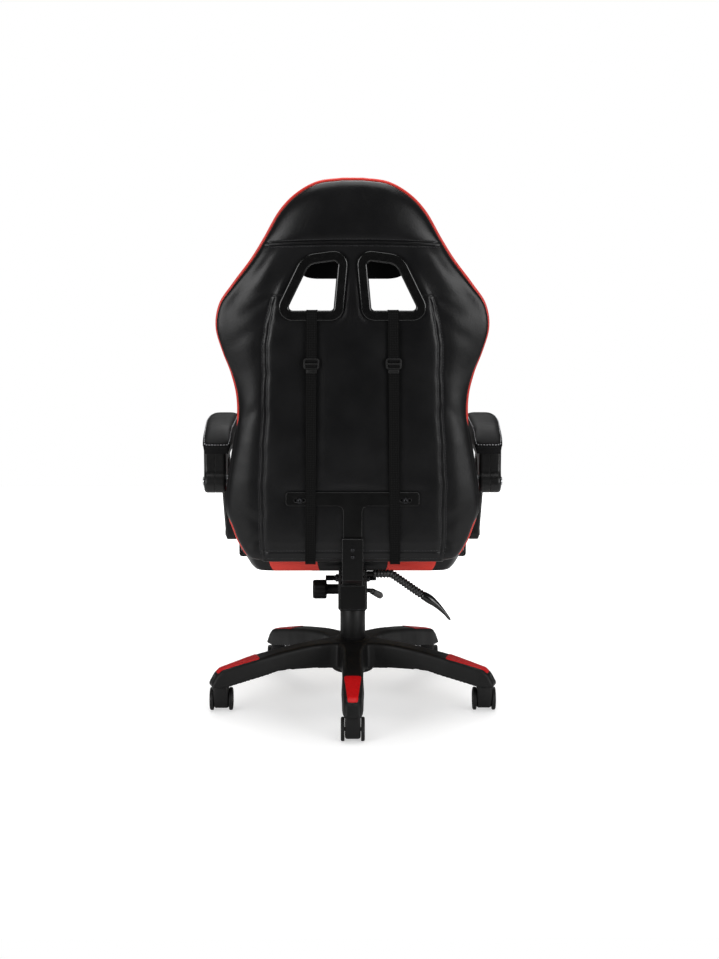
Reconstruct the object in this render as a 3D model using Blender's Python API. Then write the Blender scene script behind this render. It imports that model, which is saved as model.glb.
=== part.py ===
"""Reclining swivel chair with linked armrests, as an assembly of separate pieces.

Metres, +Z up. The origin is on the floor under the swivel axis, the sitter faces -Y and the
sitter's left is +X. The backrest is modelled upright in its own frame, whose origin is the recline
pin, and an empty on that pin leans it back.
"""

from math import acos, atan2, cos, hypot, pi, radians, sin, sqrt, tan

import bmesh
import bpy
from mathutils import Matrix, Vector

# Gap left between pieces that touch, and how far a cut runs past the face it opens
GAP = 0.0003
PAST = 0.010

# Five-leg base, with places along a leg as shares of its run from root to tip
LEG_COUNT = 5
LEG_ROOT = 0.030
LEG_REACH = 0.3226
LEG_WALL = 0.0040
LEG_EDGE = 0.006
LEG_FLARE = 0.002
LEG_SOLID_FROM = 0.8647
HUB_RADIUS = 0.048
HUB_BOTTOM = 0.070
HUB_TOP = 0.142
HUB_FOOT = 0.004
HUB_DOME = ((0.0, 0.022), (0.004, 0.010), (0.012, 0.002), (0.017, 0.0))
LEG_TOP = ((0.0, 0.139), (0.2392, 0.136), (0.4340, 0.128), (0.6494, 0.116), (0.9228, 0.096), (0.9638, 0.085))
LEG_TIP_TOP = 0.067
LEG_UNDER = ((0.0, 0.081), (0.4340, 0.086), (0.5810, 0.079), (0.8271, 0.063), (0.8886, 0.0585))
LEG_HALF_WIDTH = ((0.0, 0.0225), (0.4340, 0.0205), (0.6494, 0.0222), (0.8886, 0.0200))
LEG_TIP_HALF_WIDTH = 0.0160
LEG_STATIONS = (0.0, 0.2392, 0.4340, 0.5810, 0.6494, 0.8271, 0.8647, 0.9228, 0.9638, 1.0)

# Red foot covers let into the tops of the legs
INSERT_LENGTH = 0.1015
INSERT_TIP_MARGIN = 0.0041
INSERT_HALF_WIDTH_INNER = 0.0172
INSERT_HALF_WIDTH_OUTER = 0.0100
INSERT_CORNER = 0.004
INSERT_POCKET = 0.0020
INSERT_PROUD = 0.0006

# Casters
CASTER_TIP_MARGIN = 0.0226
CASTER_TRAIL = 0.014
WHEEL_RADIUS = 0.025
WHEEL_WIDTH = 0.011
WHEEL_SIDES = 14
WHEEL_DISH = 0.0026
WHEEL_DISH_SHARES = (0.60, 0.76)
WHEEL_LIP = 0.0014
AXLE_RADIUS = 0.004
CASTER_BODY_WIDTH = 0.0264
CASTER_BODY_TOP = 0.0582
CASTER_REAR = ((0.0125, 1.0), (0.0138, 0.75), (0.0120, 0.45), (0.0045, 0.19))
CASTER_FRONT = ((-0.033, 0.66), (-0.024, 0.88), (-0.011, 1.0))
CASTER_SKIRT = 0.0205
CASTER_EDGE = 0.0022
STEM_SIDES = 10
STEM_RADIUS = 0.0055
STEM_HEIGHT = 0.024

# Gas lift, with one number of facets so that its rings nest
LIFT_SIDES = 18
TUBE_RADIUS = 0.0250
TUBE_FOOT_RADIUS = 0.0236
TUBE_WALL = 0.0018
TUBE_BOTTOM = 0.038
TUBE_STAND = 0.006
TUBE_FLOOR = 0.005
BEARING_HEIGHT = 0.005
BEARING_RADIUS = 0.017
ROD_RADIUS = 0.005
ROD_FLANGE_RADIUS = 0.0110
ROD_FLANGE_HEIGHT = 0.003
PISTON_HEIGHT = 0.010
PISTON_STAND = 0.003
PISTON_HEADROOM = 0.004
CLIP_RADIUS = 0.011
CLIP_HEIGHT = 0.0025
ROD_TAIL = 0.002
BUSH_LENGTH = 0.048
COLUMN_RADIUS = 0.0140
COLUMN_TIP_RADIUS = 0.0128
COLUMN_BORE = 0.0112
COLUMN_LIP = 0.010
COLUMN_STAND = 0.002
COLUMN_PROUD = 0.002
LIFT_STROKE = 0.070
VALVE_RADIUS = 0.004
VALVE_HEIGHT = 0.005

# Telescopic column cover: the lower stage stands on the hub, the upper hangs from the housing
COVER_RADIUS = 0.0275
COVER_WALL = 0.0013
COVER_PLAY = 0.0009
COVER_SPAN = 0.074
COVER_STAND = 0.004
COVER_SETBACK = 0.0019

# Tilt housing
HOUSING_HALF_WIDTH = 0.0315
HOUSING_FRONT = -0.105
HOUSING_REAR = 0.062
HOUSING_HEIGHT = 0.060
HOUSING_WALL = 0.0025
HOUSING_CORNER = 0.004
HOUSING_NOSE = 0.012
HOUSING_SADDLE = 0.016
PIN_SIDES = 12
SOCKET_RADIUS = 0.0190
SOCKET_HEIGHT = 0.048
TILT_PIN_Y = -0.070
TILT_PIN_RISE = 0.081
TILT_PIN_RADIUS = 0.005
TILT_EAR_RADIUS = 0.016
TILT_PIN_HEAD = 0.003
TILT_PIN_FLANGE = 0.003
TILT_SPRING_Y = 0.043
TILT_SPRING_RADIUS = 0.0105
TILT_SPRING_WIRE = 0.0019
TILT_SPRING_TURNS = 6
TILT_SPRING_STEPS = 8

# Tension knob on the left of the housing
KNOB_Y = -0.045
KNOB_RISE = 0.023
KNOB_RADIUS = 0.0215
KNOB_WIDTH = 0.031
KNOB_LOBES = 9
KNOB_FLUTE = 0.0012
KNOB_RIM = 0.003
KNOB_NECK_RADIUS = 0.0113
KNOB_NECK_LENGTH = 0.0258
SCREW_RADIUS = 0.005
SCREW_REACH = 0.050

# Height lever on the right of the housing: it runs forward, outward and down
LEVER_RADIUS = 0.0048
LEVER_PRESS = 0.0035
LEVER_BEND = 0.004
LEVER_EXIT_Y = -0.026
LEVER_EXIT_RISE = 0.0245
LEVER_END = (-0.0635, -0.140, 0.200)
PADDLE_RADIUS = 0.0075
PADDLE_TIP_RADIUS = 0.0045
PADDLE_SETS = (0.050, 0.040, 0.004, 0.0)

# Seat
PLATE_CLEARANCE = 0.0247
PLATE_THICKNESS = 0.004
PLATE_HALF_WIDTH = 0.095
PLATE_FRONT = -0.115
PLATE_REAR = 0.130
PLATE_CORNER = 0.012
LUG_HALF_WIDTH = 0.024
LUG_RADIUS = 0.014
PAN_HALF_WIDTH = 0.185
PAN_FRONT = -0.275
PAN_REAR = 0.130
PAN_CORNER = 0.040
PAN_THICKNESS = 0.012
SEAT_LIP = 0.0025
SEAT_SIDE = 0.050
SEAT_HEIGHT = 0.100
SEAT_BOLSTER = 0.036
SEAT_BOLSTER_WIDTH = 0.105
SEAT_BOLSTER_FADE = (-0.325, -0.200)
SEAT_EDGE = 0.045
SEAT_DRAW_IN = 0.90
SEAT_CHANNEL = 0.0035
SEAT_CHANNEL_PITCH = 0.075
CHANNEL_FADE = 0.020
SEAT_ROWS = 26
SEAT_OUTLINE = (
    (0.170, 0.160), (0.207, 0.150), (0.224, 0.105), (0.236, 0.020), (0.239, -0.100), (0.237, -0.210),
    (0.228, -0.275), (0.200, -0.313), (0.140, -0.325),
)

# Recline hinge
RECLINE_Y = 0.195
RECLINE_DROP = 0.0037
RECLINE_PIN_RADIUS = 0.006
RECLINE_PIN_LEFT = 0.0563
RECLINE_PIN_RIGHT = 0.0490
RECLINE_HEAD_RADIUS = 0.0085
RECLINE_HEAD = 0.006
EAR_INNER = 0.0240
EAR_THICKNESS = 0.004
EAR_RADIUS = 0.017
EAR_FRONT = (0.060, 0.006)
EAR_WAIST = (0.130, 0.014)
EAR_CREST_SET = 0.027
KNUCKLE_RADIUS = 0.013
BACK_LEAN = radians(5.0)

# Recline handle on the right
ROD_SIDES = 10
HANDLE_Y = 0.212
HANDLE_RISE = 0.013
HANDLE_ROD_RADIUS = 0.0055
HANDLE_EAR_RADIUS = 0.010
HANDLE_ELBOW_X = -0.080
HANDLE_SLOPE = radians(35.4)
HANDLE_BEND = 0.016
SLEEVE_START = 0.013
SLEEVE_END = 0.0765
SLEEVE_WALL = 0.0022
SLEEVE_RIB = 0.0012
SLEEVE_RIBS = 14
HORN_RADIUS = 0.0082
HORN_POINT_RADIUS = 0.0028
HORN_ELBOW = 0.036
HORN_TIP = (-0.2025, 0.236)
HORN_SOCKET = 0.016
HORN_STEPS = 9
HORN_SWELL = 0.0012
HORN_SWELL_SPAN = 0.45
HORN_TAPER_FROM = 0.25

# Backrest, in its own upright frame: x across, v to the rear, s up from the recline pin
BACK_REAR = 0.0556
BACK_COVER_THICKNESS = 0.038
BACK_CUSHION_THICKNESS = 0.0473
COVER_SIDE = 0.0125
COVER_EDGE = 0.030
CUSHION_SIDE = 0.020
CUSHION_EDGE = 0.036
WING_RISE = 0.045
WING_WIDTH = 0.100
WING_LOWER = (0.120, 0.240)
WING_UPPER = (0.540, 0.630)
BACK_CHANNEL = 0.0035
BACK_CHANNELS = (0.355, 0.410, 0.465, 0.520)
BACK_CHANNEL_HALF_WIDTH = 0.012
BACK_WAIST = 0.350
BACK_OUTLINE = (
    (0.186, 0.045), (0.215, 0.054), (0.235, 0.086), (0.246, 0.116), (0.2572, 0.152), (0.2560, 0.195),
    (0.2480, 0.249), (0.2390, 0.303), (0.2316, 0.350), (0.2327, 0.395), (0.2425, 0.437), (0.2590, 0.480),
    (0.2718, 0.530), (0.2640, 0.577), (0.2361, 0.617), (0.2000, 0.664), (0.1740, 0.705), (0.1430, 0.758),
    (0.1096, 0.7926), (0.0678, 0.8156), (0.0200, 0.8223),
)
BACK_ROWS = 33
RECESS_DEPTH = 0.022
RECESS_MARGIN = 0.028
FRAME_TUBE_RADIUS = 0.009
FRAME_MARGIN = 0.042
FRAME_BENDS = 15
FRAME_SIDES = 6
HOOP_HALF_TOP = 0.012

# Cut-outs and their frames
BEZEL_HOLE = ((0.0285, 0.6675), (0.0375, 0.5697), (0.1285, 0.5697), (0.0840, 0.6600))
BEZEL_HOLE_RADIUS = 0.007
BEZEL_RIM = 0.0170
BEZEL_WALL = 0.004
BEZEL_PROUD = 0.0058
BEZEL_STEPS = 3
BEZEL_SLOPE = 0.004
BEZEL_LIP = 0.002

# T-shaped bar and L-shaped bracket behind the back
BAR_HALF_LENGTH = 0.1345
BAR_LOW = 0.172
BAR_HIGH = 0.201
BAR_THICKNESS = 0.004
BAR_END_RADIUS = 0.004
BAR_FILLET = 0.010
BAR_LEG_HALF_WIDTH = 0.0193
BAR_LEG_END = 0.058
BAR_SLOT_X = 0.107
BAR_SLOT_S = 0.184
BAR_SLOT_LENGTH = 0.022
BAR_SLOT_WIDTH = 0.007
BRACKET_HALF_WIDTH = 0.0212
BRACKET_THICKNESS = 0.006
BRACKET_TOP = 0.104
BRACKET_BEND = 0.026
BRACKET_INSIDE = (0.040, 0.014)
BRACKET_OUTSIDE = (0.034, -0.006)
BRACKET_CORNER = 0.010
BRACKET_HEEL = 0.003

# Straps, buckles and pillows
STRAP_WIDTH = 0.021
STRAP_THICKNESS = 0.0016
STRAP_TOP_X = 0.080
STRAP_LOW_X = 0.0865
STRAP_TURN = 0.0035
STRAP_OFF_BAR = (0.0014, 0.0411)
STRAP_REAR_WRAP = ((0.001, 0.0091), (0.010, 0.0012), (0.016, 0.0))
STRAP_FRONT_WRAP = ((0.020, 0.0), (0.010, 0.0036), (0.003, 0.0141), (0.0, 0.0281))
BUCKLE_S = 0.4645
BUCKLE_SIZE = (0.031, 0.0070, 0.021)
BUCKLE_CORNER = 0.003
HEAD_PILLOW_GAP = 0.0006
LUMBAR_GAP = 0.0025
HEAD_PILLOW_HALF_WIDTH = 0.116
HEAD_PILLOW_LOW = 0.619
HEAD_PILLOW_HIGH = 0.757
HEAD_PILLOW_THICKNESS = 0.058
LUMBAR_HALF_WIDTH = 0.132
LUMBAR_LOW = 0.130
LUMBAR_HIGH = 0.310
LUMBAR_THICKNESS = 0.072
PILLOW_SIDE = 0.016
PILLOW_EDGE = 0.055
PILLOW_ROWS = 11
PILLOW_SWEEP = radians(84.6)
PILLOW_SQUARENESS = 0.35
PILLOW_BACK = 0.97

# Linked armrests
ARM_PIVOT_SET = -0.030
ARM_PIVOT_RISE = 0.199
LINK_Y = -0.030
LINK_Z = 0.372
ARM_CLEARANCE = 0.0038
ARM_WIDTH = 0.0460
ARM_WALL = 0.0055
ARM_BEVEL = 0.0040
ARM_HUB_RADIUS = 0.024
ARM_FRONT = -0.120
ARM_TOP = 0.5985
ARM_ROOF = 0.0065
ARM_REAR = ((0.030, 0.0), (0.008, 0.018))
ARM_HUB_RISE = 0.030
ARM_BELLY = ((0.030, 0.024), (0.055, 0.036), (0.145, 0.038))
ARM_BOSS_RADIUS = 0.017
ARM_NOSE = ((0.004, -0.002), (0.0, 0.012))
ARM_NOSE_TOP = 0.006
TROUGH_FRONT = -0.102
TROUGH_REAR = 0.105
PAD_INNER_LAP = 0.0135
PAD_OUTER_LAP = 0.0035
PAD_FRONT = -0.128
PAD_REAR = 0.197
PAD_HEIGHT = 0.0285
PAD_DROOP = 0.015
PAD_END = 0.034
PAD_END_WIDTH = 0.72
PAD_END_HEIGHT = 0.62
PAD_CORNER = 0.012
PAD_CORNER_SHARE = 0.45
PAD_STATIONS = (0.0, 0.02, 0.06, 0.14, 0.30, 0.50, 0.70, 0.84, 0.90, 0.95, 0.985, 1.0)
PIVOT_RADIUS = 0.006
PIVOT_BOSS_RADIUS = 0.013
PIVOT_BOSS_LENGTH = 0.046
PIVOT_HEAD_RADIUS = 0.009
PIVOT_HEAD = 0.0028
PIVOT_HEAD_EDGE = 0.001
ARM_PIN_RADIUS = 0.004
LINK_THICKNESS = 0.014
LINK_HALF_WIDTH = 0.016
LINK_LOWER_X = 0.261
LINK_CRANK = (0.10, 0.50)
LINK_CORNER = 0.0025
LINK_TIP_HALF_WIDTH = 0.004
LINK_SHARES = (0.05, 0.12, 0.22, 0.30, 0.38, 0.48, 0.70)
LINK_END_SHARES = (0.4, 0.8, 1.0)
BRACKET_HALF_DEPTH = 0.021
BRACKET_PLATE = 0.0042
BRACKET_INNER_X = 0.100
BRACKET_OUTER_X = 0.249
BRACKET_RISE = 0.020
BRACKET_CURVE = 0.006
STUD_PROUD = 0.002
STUD_RADIUS = 0.0045
STUD_SHOULDER_RADIUS = 0.009

# Heights and places that follow from the sizes above
CASTER_CIRCLE = LEG_REACH - CASTER_TIP_MARGIN
BACK_HIP = max(x for x, s in BACK_OUTLINE if s < BACK_WAIST)
ARM_INNER = BACK_HIP + ARM_CLEARANCE
ARM_OUTER = ARM_INNER + ARM_WIDTH
PIVOT_INNER = ARM_INNER - PIVOT_BOSS_LENGTH
PAD_INNER = ARM_INNER - PAD_INNER_LAP
PAD_OUTER = ARM_OUTER + PAD_OUTER_LAP
LINK_UPPER_X = ARM_OUTER - ARM_WIDTH / 2
HOUSING_BOTTOM = HUB_TOP + COVER_SPAN
HOUSING_TOP = HOUSING_BOTTOM + HOUSING_HEIGHT
TILT_PIN_Z = HOUSING_BOTTOM + TILT_PIN_RISE
PLATE_BOTTOM = TILT_PIN_Z + PLATE_CLEARANCE
PLATE_TOP = PLATE_BOTTOM + PLATE_THICKNESS
PAN_BOTTOM = PLATE_TOP + GAP
PAN_TOP = PAN_BOTTOM + PAN_THICKNESS
SEAT_BOTTOM = PAN_BOTTOM + SEAT_LIP
RECLINE_Z = PLATE_TOP - RECLINE_DROP
RECLINE = Vector((0.0, RECLINE_Y, RECLINE_Z))
ARM_OFFSET = Vector((0.0, ARM_PIVOT_SET, ARM_PIVOT_RISE))
ARM_PIVOT = RECLINE + ARM_OFFSET
LINK_PIVOT = Vector((0.0, LINK_Y, LINK_Z))
LINK_TOP = LINK_PIVOT + ARM_OFFSET
HANDLE = Vector((0.0, HANDLE_Y, RECLINE_Z + HANDLE_RISE))
BACK_SPLIT = BACK_REAR - BACK_COVER_THICKNESS
BACK_FRONT = BACK_SPLIT - GAP - BACK_CUSHION_THICKNESS
KNOB = Vector((HOUSING_HALF_WIDTH, KNOB_Y, HOUSING_BOTTOM + KNOB_RISE))
COLUMN_TOP = HOUSING_BOTTOM + SOCKET_HEIGHT + COLUMN_PROUD
TUBE_TOP = HUB_TOP + TUBE_STAND
BEARING_BOTTOM = TUBE_BOTTOM + TUBE_FLOOR + GAP
ROD_FLANGE_BOTTOM = BEARING_BOTTOM + BEARING_HEIGHT + GAP
COLUMN_BOTTOM = ROD_FLANGE_BOTTOM + ROD_FLANGE_HEIGHT + COLUMN_STAND
PISTON_BOTTOM = COLUMN_BOTTOM + COLUMN_LIP + LIFT_STROKE + PISTON_STAND
LEVER_EXIT = Vector((-HOUSING_HALF_WIDTH, LEVER_EXIT_Y, HOUSING_BOTTOM + LEVER_EXIT_RISE))


# Materials

def material(name, colour, roughness, metallic=0.0):
    mat = bpy.data.materials.new(name)
    mat.use_nodes = True
    shader = mat.node_tree.nodes["Principled BSDF"]
    shader.inputs["Base Color"].default_value = (*colour, 1.0)
    shader.inputs["Roughness"].default_value = roughness
    shader.inputs["Metallic"].default_value = metallic
    mat.diffuse_color = (*colour, 1.0)
    return mat


def make_materials():
    return {
        "nylon": material("black_nylon", (0.008, 0.008, 0.008), 0.45),
        "red": material("red_plastic", (0.47, 0.010, 0.010), 0.35),
        "gloss": material("gloss_black_plastic", (0.004, 0.004, 0.004), 0.12),
        "paint": material("black_painted_steel", (0.018, 0.018, 0.018), 0.42, 0.3),
        "steel": material("bright_steel", (0.55, 0.55, 0.56), 0.28, 1.0),
        "leather": material("black_leather", (0.010, 0.010, 0.011), 0.40),
        "seat": material("black_and_red_leather", (0.10, 0.012, 0.010), 0.40),
        "webbing": material("black_webbing", (0.010, 0.010, 0.010), 0.80),
        "rubber": material("black_rubber", (0.012, 0.012, 0.012), 0.70),
        "board": material("plywood", (0.35, 0.22, 0.11), 0.70),
    }


# Building blocks

def new_object(name, bm, mat=None, parent=None):
    """Close a bmesh into an object; its points are in the parent empty's frame."""
    bmesh.ops.recalc_face_normals(bm, faces=bm.faces)
    mesh = bpy.data.meshes.new(name)
    bm.to_mesh(mesh)
    bm.free()
    mesh.shade_smooth()
    mesh.set_sharp_from_angle(angle=radians(35))
    obj = bpy.data.objects.new(name, mesh)
    bpy.context.scene.collection.objects.link(obj)
    obj.parent = parent
    if mat:
        mesh.materials.append(mat)
    return obj


def axis(name, place, parent=None, lean=0.0):
    """An empty on a joint's axis, given by its place in the whole chair."""
    empty = bpy.data.objects.new(name, None)
    bpy.context.scene.collection.objects.link(empty)
    empty.parent = parent
    home = place_of(parent) if parent else Vector()
    empty.location = Vector(place) - home
    empty.rotation_euler.x = -lean
    empty["place"] = list(place)
    return empty


def place_of(empty):
    return Vector(empty["place"])


def local(bm, empty):
    """Move points given in the whole chair's frame into an empty's frame."""
    bmesh.ops.translate(bm, verts=bm.verts, vec=-place_of(empty))
    return bm


def boolean(obj, tool, operation="DIFFERENCE"):
    tool.hide_render = True
    tool.display_type = "WIRE"
    tool.parent = obj.parent
    step = obj.modifiers.new(tool.name, "BOOLEAN")
    step.object = tool
    step.operation = operation


def loft(rings, closed=False):
    """Skin a list of equal rings of points; open runs get flat ends."""
    bm = bmesh.new()
    loops = [[bm.verts.new(point) for point in ring] for ring in rings]
    count = len(loops[0])
    pairs = list(zip(loops, loops[1:]))
    if closed:
        pairs.append((loops[-1], loops[0]))
    for low, high in pairs:
        for i in range(count):
            j = (i + 1) % count
            bm.faces.new((low[i], low[j], high[j], high[i]))
    if not closed:
        bm.faces.new(loops[0])
        bm.faces.new(list(reversed(loops[-1])))
    return bm


def extrude(outline, low, high, plane):
    """A flat outline pushed through, with plane(a, b, depth) giving each point."""
    return loft([[plane(a, b, depth) for a, b in outline] for depth in (low, high)])


def across(y, z, x):
    return Vector((x, y, z))


def upward(x, y, z):
    return Vector((x, y, z))


def rearward(x, s, v):
    return Vector((x, v, s))


def lathe(profile, sides, matrix=None, turn=0.0):
    """Turn (radius, height) points about Z; a profile that leaves the axis closes on itself."""
    bm = bmesh.new()
    rings = []
    for radius, height in profile:
        if radius < 1e-9:
            rings.append([bm.verts.new((0.0, 0.0, height))])
            continue
        angles = [turn + 2 * pi * i / sides for i in range(sides)]
        rings.append([bm.verts.new((radius * cos(a), radius * sin(a), height)) for a in angles])
    pairs = list(zip(rings, rings[1:]))
    if len(rings[0]) > 1:
        pairs.append((rings[-1], rings[0]))
    for low, high in pairs:
        for i in range(sides):
            j = (i + 1) % sides
            corners = [low[i % len(low)], low[j % len(low)], high[j % len(high)], high[i % len(high)]]
            bm.faces.new(list(dict.fromkeys(corners)))
    if matrix:
        bmesh.ops.transform(bm, matrix=matrix, verts=bm.verts)
    return bm


def rod(radius, low, high):
    return ((0.0, low), (radius, low), (radius, high), (0.0, high))


def pipe(inner, outer, low, high):
    return ((inner, low), (outer, low), (outer, high), (inner, high))


def along_x(place):
    """Lathe height becomes +X, at a place in the chair."""
    return Matrix.Translation(place) @ Matrix.Rotation(pi / 2, 4, "Y")


def sweep(path, section, closed=False):
    """Carry a section(i) of (side, up) points along a path, without twist."""
    points = [Vector(p) for p in path]
    count = len(points)
    rings = []
    side = None
    for i, point in enumerate(points):
        into = point - points[i - 1] if i or closed else Vector()
        out = points[(i + 1) % count] - point if i + 1 < count or closed else Vector()
        tangent = (into.normalized() + out.normalized()).normalized()
        if side is None:
            side = tangent.orthogonal().normalized()
            if abs(tangent.x) < 0.999:
                side = (Vector((1, 0, 0)) - tangent * tangent.x).normalized()
        side = (side - tangent * side.dot(tangent)).normalized()
        up = tangent.cross(side)
        rings.append([point + side * a + up * b for a, b in section(i)])
    return loft(rings, closed)


def clear_bore(radius, sides):
    """Radius of a faceted bore that clears a round piece at any turn."""
    return (radius + GAP) / cos(pi / sides)


def circle(radius, sides):
    return [(radius * cos(2 * pi * i / sides), radius * sin(2 * pi * i / sides)) for i in range(sides)]


def arc(centre, radius, start, end, steps):
    """Points round a centre, with angles in degrees."""
    angles = [radians(start + (end - start) * i / steps) for i in range(steps + 1)]
    return [(centre[0] + radius * cos(a), centre[1] + radius * sin(a)) for a in angles]


def offset_polygon(corners, distance):
    """Move each side of a counter-clockwise convex polygon outward."""
    moved = []
    count = len(corners)
    for i in range(count):
        a, b, c = (Vector(corners[(i + k) % count]) for k in (-1, 0, 1))
        first = (b - a).normalized()
        second = (c - b).normalized()
        out_first = Vector((first.y, -first.x))
        out_second = Vector((second.y, -second.x))
        bisector = (out_first + out_second).normalized()
        moved.append(b + bisector * (distance / bisector.dot(out_first)))
    return moved


def rounded_polygon(corners, radius, steps):
    """A convex polygon with arcs at its corners."""
    outline = []
    count = len(corners)
    for i in range(count):
        a, b, c = (Vector(corners[(i + k) % count]) for k in (-1, 0, 1))
        to_a = (a - b).normalized()
        to_c = (c - b).normalized()
        half = acos(max(-1.0, min(1.0, to_a.dot(to_c)))) / 2
        reach = radius / tan(half)
        centre = b + (to_a + to_c).normalized() * (radius / sin(half))
        start = b + to_a * reach - centre
        end = b + to_c * reach - centre
        first = atan2(start.y, start.x)
        turn = (atan2(end.y, end.x) - first + pi) % (2 * pi) - pi
        angles = [first + turn * k / steps for k in range(steps + 1)]
        outline.extend((centre.x + radius * cos(t), centre.y + radius * sin(t)) for t in angles)
    return outline


def rectangle(left, right, low, high):
    return [(left, low), (right, low), (right, high), (left, high)]


def fillet_path(corners, radius, steps):
    """A 3-D polyline whose inner corners are rounded."""
    points = [Vector(corners[0])]
    for i in range(1, len(corners) - 1):
        a, b, c = (Vector(corners[i + k]) for k in (-1, 0, 1))
        to_a = (a - b).normalized()
        to_c = (c - b).normalized()
        half = acos(max(-1.0, min(1.0, to_a.dot(to_c)))) / 2
        reach = radius / tan(half)
        start = b + to_a * reach
        end = b + to_c * reach
        for k in range(steps + 1):
            t = k / steps
            points.append(start * (1 - t) ** 2 + b * (2 * t * (1 - t)) + end * t ** 2)
    points.append(Vector(corners[-1]))
    return points


def smooth(points, per_span):
    """Points on a Catmull-Rom curve through the given ones."""
    knots = [Vector(p) for p in points]
    knots = [knots[0] * 2 - knots[1], *knots, knots[-1] * 2 - knots[-2]]
    curve = []
    for a, b, c, d in zip(knots, knots[1:], knots[2:], knots[3:]):
        for k in range(per_span):
            t = k / per_span
            pull = (c - a) * t + (a * 2 - b * 5 + c * 4 - d) * t ** 2 + (b * 3 - a - c * 3 + d) * t ** 3
            curve.append(b + pull * 0.5)
    curve.append(knots[-2])
    return curve


def resampled(points, count):
    """A curve's points spread evenly along its length."""
    lengths = [0.0]
    for a, b in zip(points, points[1:]):
        lengths.append(lengths[-1] + (b - a).length)
    even = []
    span = 0
    for i in range(count):
        target = lengths[-1] * i / (count - 1)
        while span < len(points) - 2 and lengths[span + 1] < target:
            span += 1
        share = (target - lengths[span]) / (lengths[span + 1] - lengths[span])
        even.append(points[span].lerp(points[span + 1], share))
    return even


def profile_at(points, position):
    """Height of a polyline profile at a position, held level past its ends."""
    if position <= points[0][0]:
        return points[0][1]
    for (a, low), (b, high) in zip(points, points[1:]):
        if position <= b:
            return low + (high - low) * (position - a) / (b - a)
    return points[-1][1]


def ease(low, high, value):
    t = max(0.0, min(1.0, (value - low) / (high - low)))
    return t * t * (3 - 2 * t)


# Padded forms

def side_distance(x, along, outline):
    """Distance from a point to the nearest side of a mirrored outline, leaving out its flat ends."""
    x = abs(x)
    best = 1.0
    for a, b in zip(outline, outline[1:]):
        run = b - a
        t = max(0.0, min(1.0, ((x - a.x) * run.x + (along - a.y) * run.y) / run.length_squared))
        best = min(best, hypot(x - a.x - run.x * t, along - a.y - run.y * t))
    return best


def edge_distance(x, along, outline):
    """Distance from a point to the nearest edge of a mirrored outline, ends included."""
    ends = min(abs(along - outline[0].y), abs(along - outline[-1].y))
    return min(ends, side_distance(x, along, outline))


def crown(distance, reach):
    """Rise of a stuffed edge: nothing at the seam, full at the reach from it."""
    t = min(1.0, distance / reach)
    return sqrt(max(0.0, 1.0 - (1.0 - t) ** 2))


def padded(outline, height, base_scale, point, spread):
    """A stuffed form: a flat base, and a face whose height follows each row of the outline."""
    rings = []
    for row in outline:
        base = [point(row.x * u * base_scale, row.y, 0.0) for u in spread]
        face = [point(row.x * u, row.y, height(row.x * u, row.y)) for u in reversed(spread)]
        rings.append(base + face)
    return loft(rings)


WIDE_SPREAD = (-1.0, -0.95, -0.86, -0.76, -0.65, -0.53, 0.0, 0.53, 0.65, 0.76, 0.86, 0.95, 1.0)
PLAIN_SPREAD = (-1.0, -0.95, -0.85, -0.55, 0.0, 0.55, 0.85, 0.95, 1.0)


# Base and casters

def leg_radius(share):
    return LEG_ROOT + (LEG_REACH - LEG_ROOT) * share


def leg_top(share):
    return profile_at((*LEG_TOP, (1.0, LEG_TIP_TOP)), share)


def leg_half_width(share):
    return profile_at((*LEG_HALF_WIDTH, (1.0, LEG_TIP_HALF_WIDTH)), share)


def leg_ring(share):
    """Inverted channel section across a leg that runs along +Y; past its solid start it closes."""
    half = leg_half_width(share)
    foot = half + LEG_FLARE
    top = leg_top(share)
    under = profile_at(LEG_UNDER, share)
    edge = min(LEG_EDGE, (top - under) / 2)
    roof = top - LEG_WALL - edge if share < LEG_SOLID_FROM else under + GAP
    outer = [(-foot, under), (-half, top - edge), (-half + edge, top)]
    inner = [(-foot + LEG_WALL, under), (-half + LEG_WALL, roof)]
    right = [(-a, z) for a, z in reversed(outer)]
    back = [(-a, z) for a, z in inner] + list(reversed(inner))
    return [Vector((a, leg_radius(share), z)) for a, z in outer + right + back]


def insert_solid(clearance, proud):
    """Foot cover that follows the top of a leg, or with a clearance, the pocket it sits in."""
    outer = LEG_REACH - INSERT_TIP_MARGIN + clearance
    inner = outer - INSERT_LENGTH - 2 * clearance
    stations = [leg_radius(share) for share in LEG_STATIONS]
    middle = [r for r in stations if inner + INSERT_CORNER < r < outer - INSERT_CORNER]
    rings = []
    for radius in (inner, inner + INSERT_CORNER, *middle, outer - INSERT_CORNER, outer):
        share = (radius - inner) / (outer - inner)
        taper = INSERT_HALF_WIDTH_OUTER - INSERT_HALF_WIDTH_INNER
        half = INSERT_HALF_WIDTH_INNER + taper * share + clearance
        if radius in (inner, outer):
            half -= INSERT_CORNER
        top = leg_top((radius - LEG_ROOT) / (LEG_REACH - LEG_ROOT))
        low = top - INSERT_POCKET - clearance
        rings.append([Vector((a, radius, z)) for a, z in rectangle(-half, half, low, top + proud)])
    return loft(rings)


def leg_turn(index):
    return Matrix.Rotation(2 * pi * index / LEG_COUNT, 4, "Z")


def tube_bore(clearance):
    """Outside of the gas tube: straight above the hub, tapered inside it."""
    top = TUBE_RADIUS + clearance
    foot = TUBE_FOOT_RADIUS + clearance
    low = TUBE_BOTTOM - clearance
    high = TUBE_TOP + clearance
    return ((0.0, low), (foot, low), (foot, HUB_BOTTOM), (top, HUB_TOP), (top, high), (0.0, high))


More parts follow.
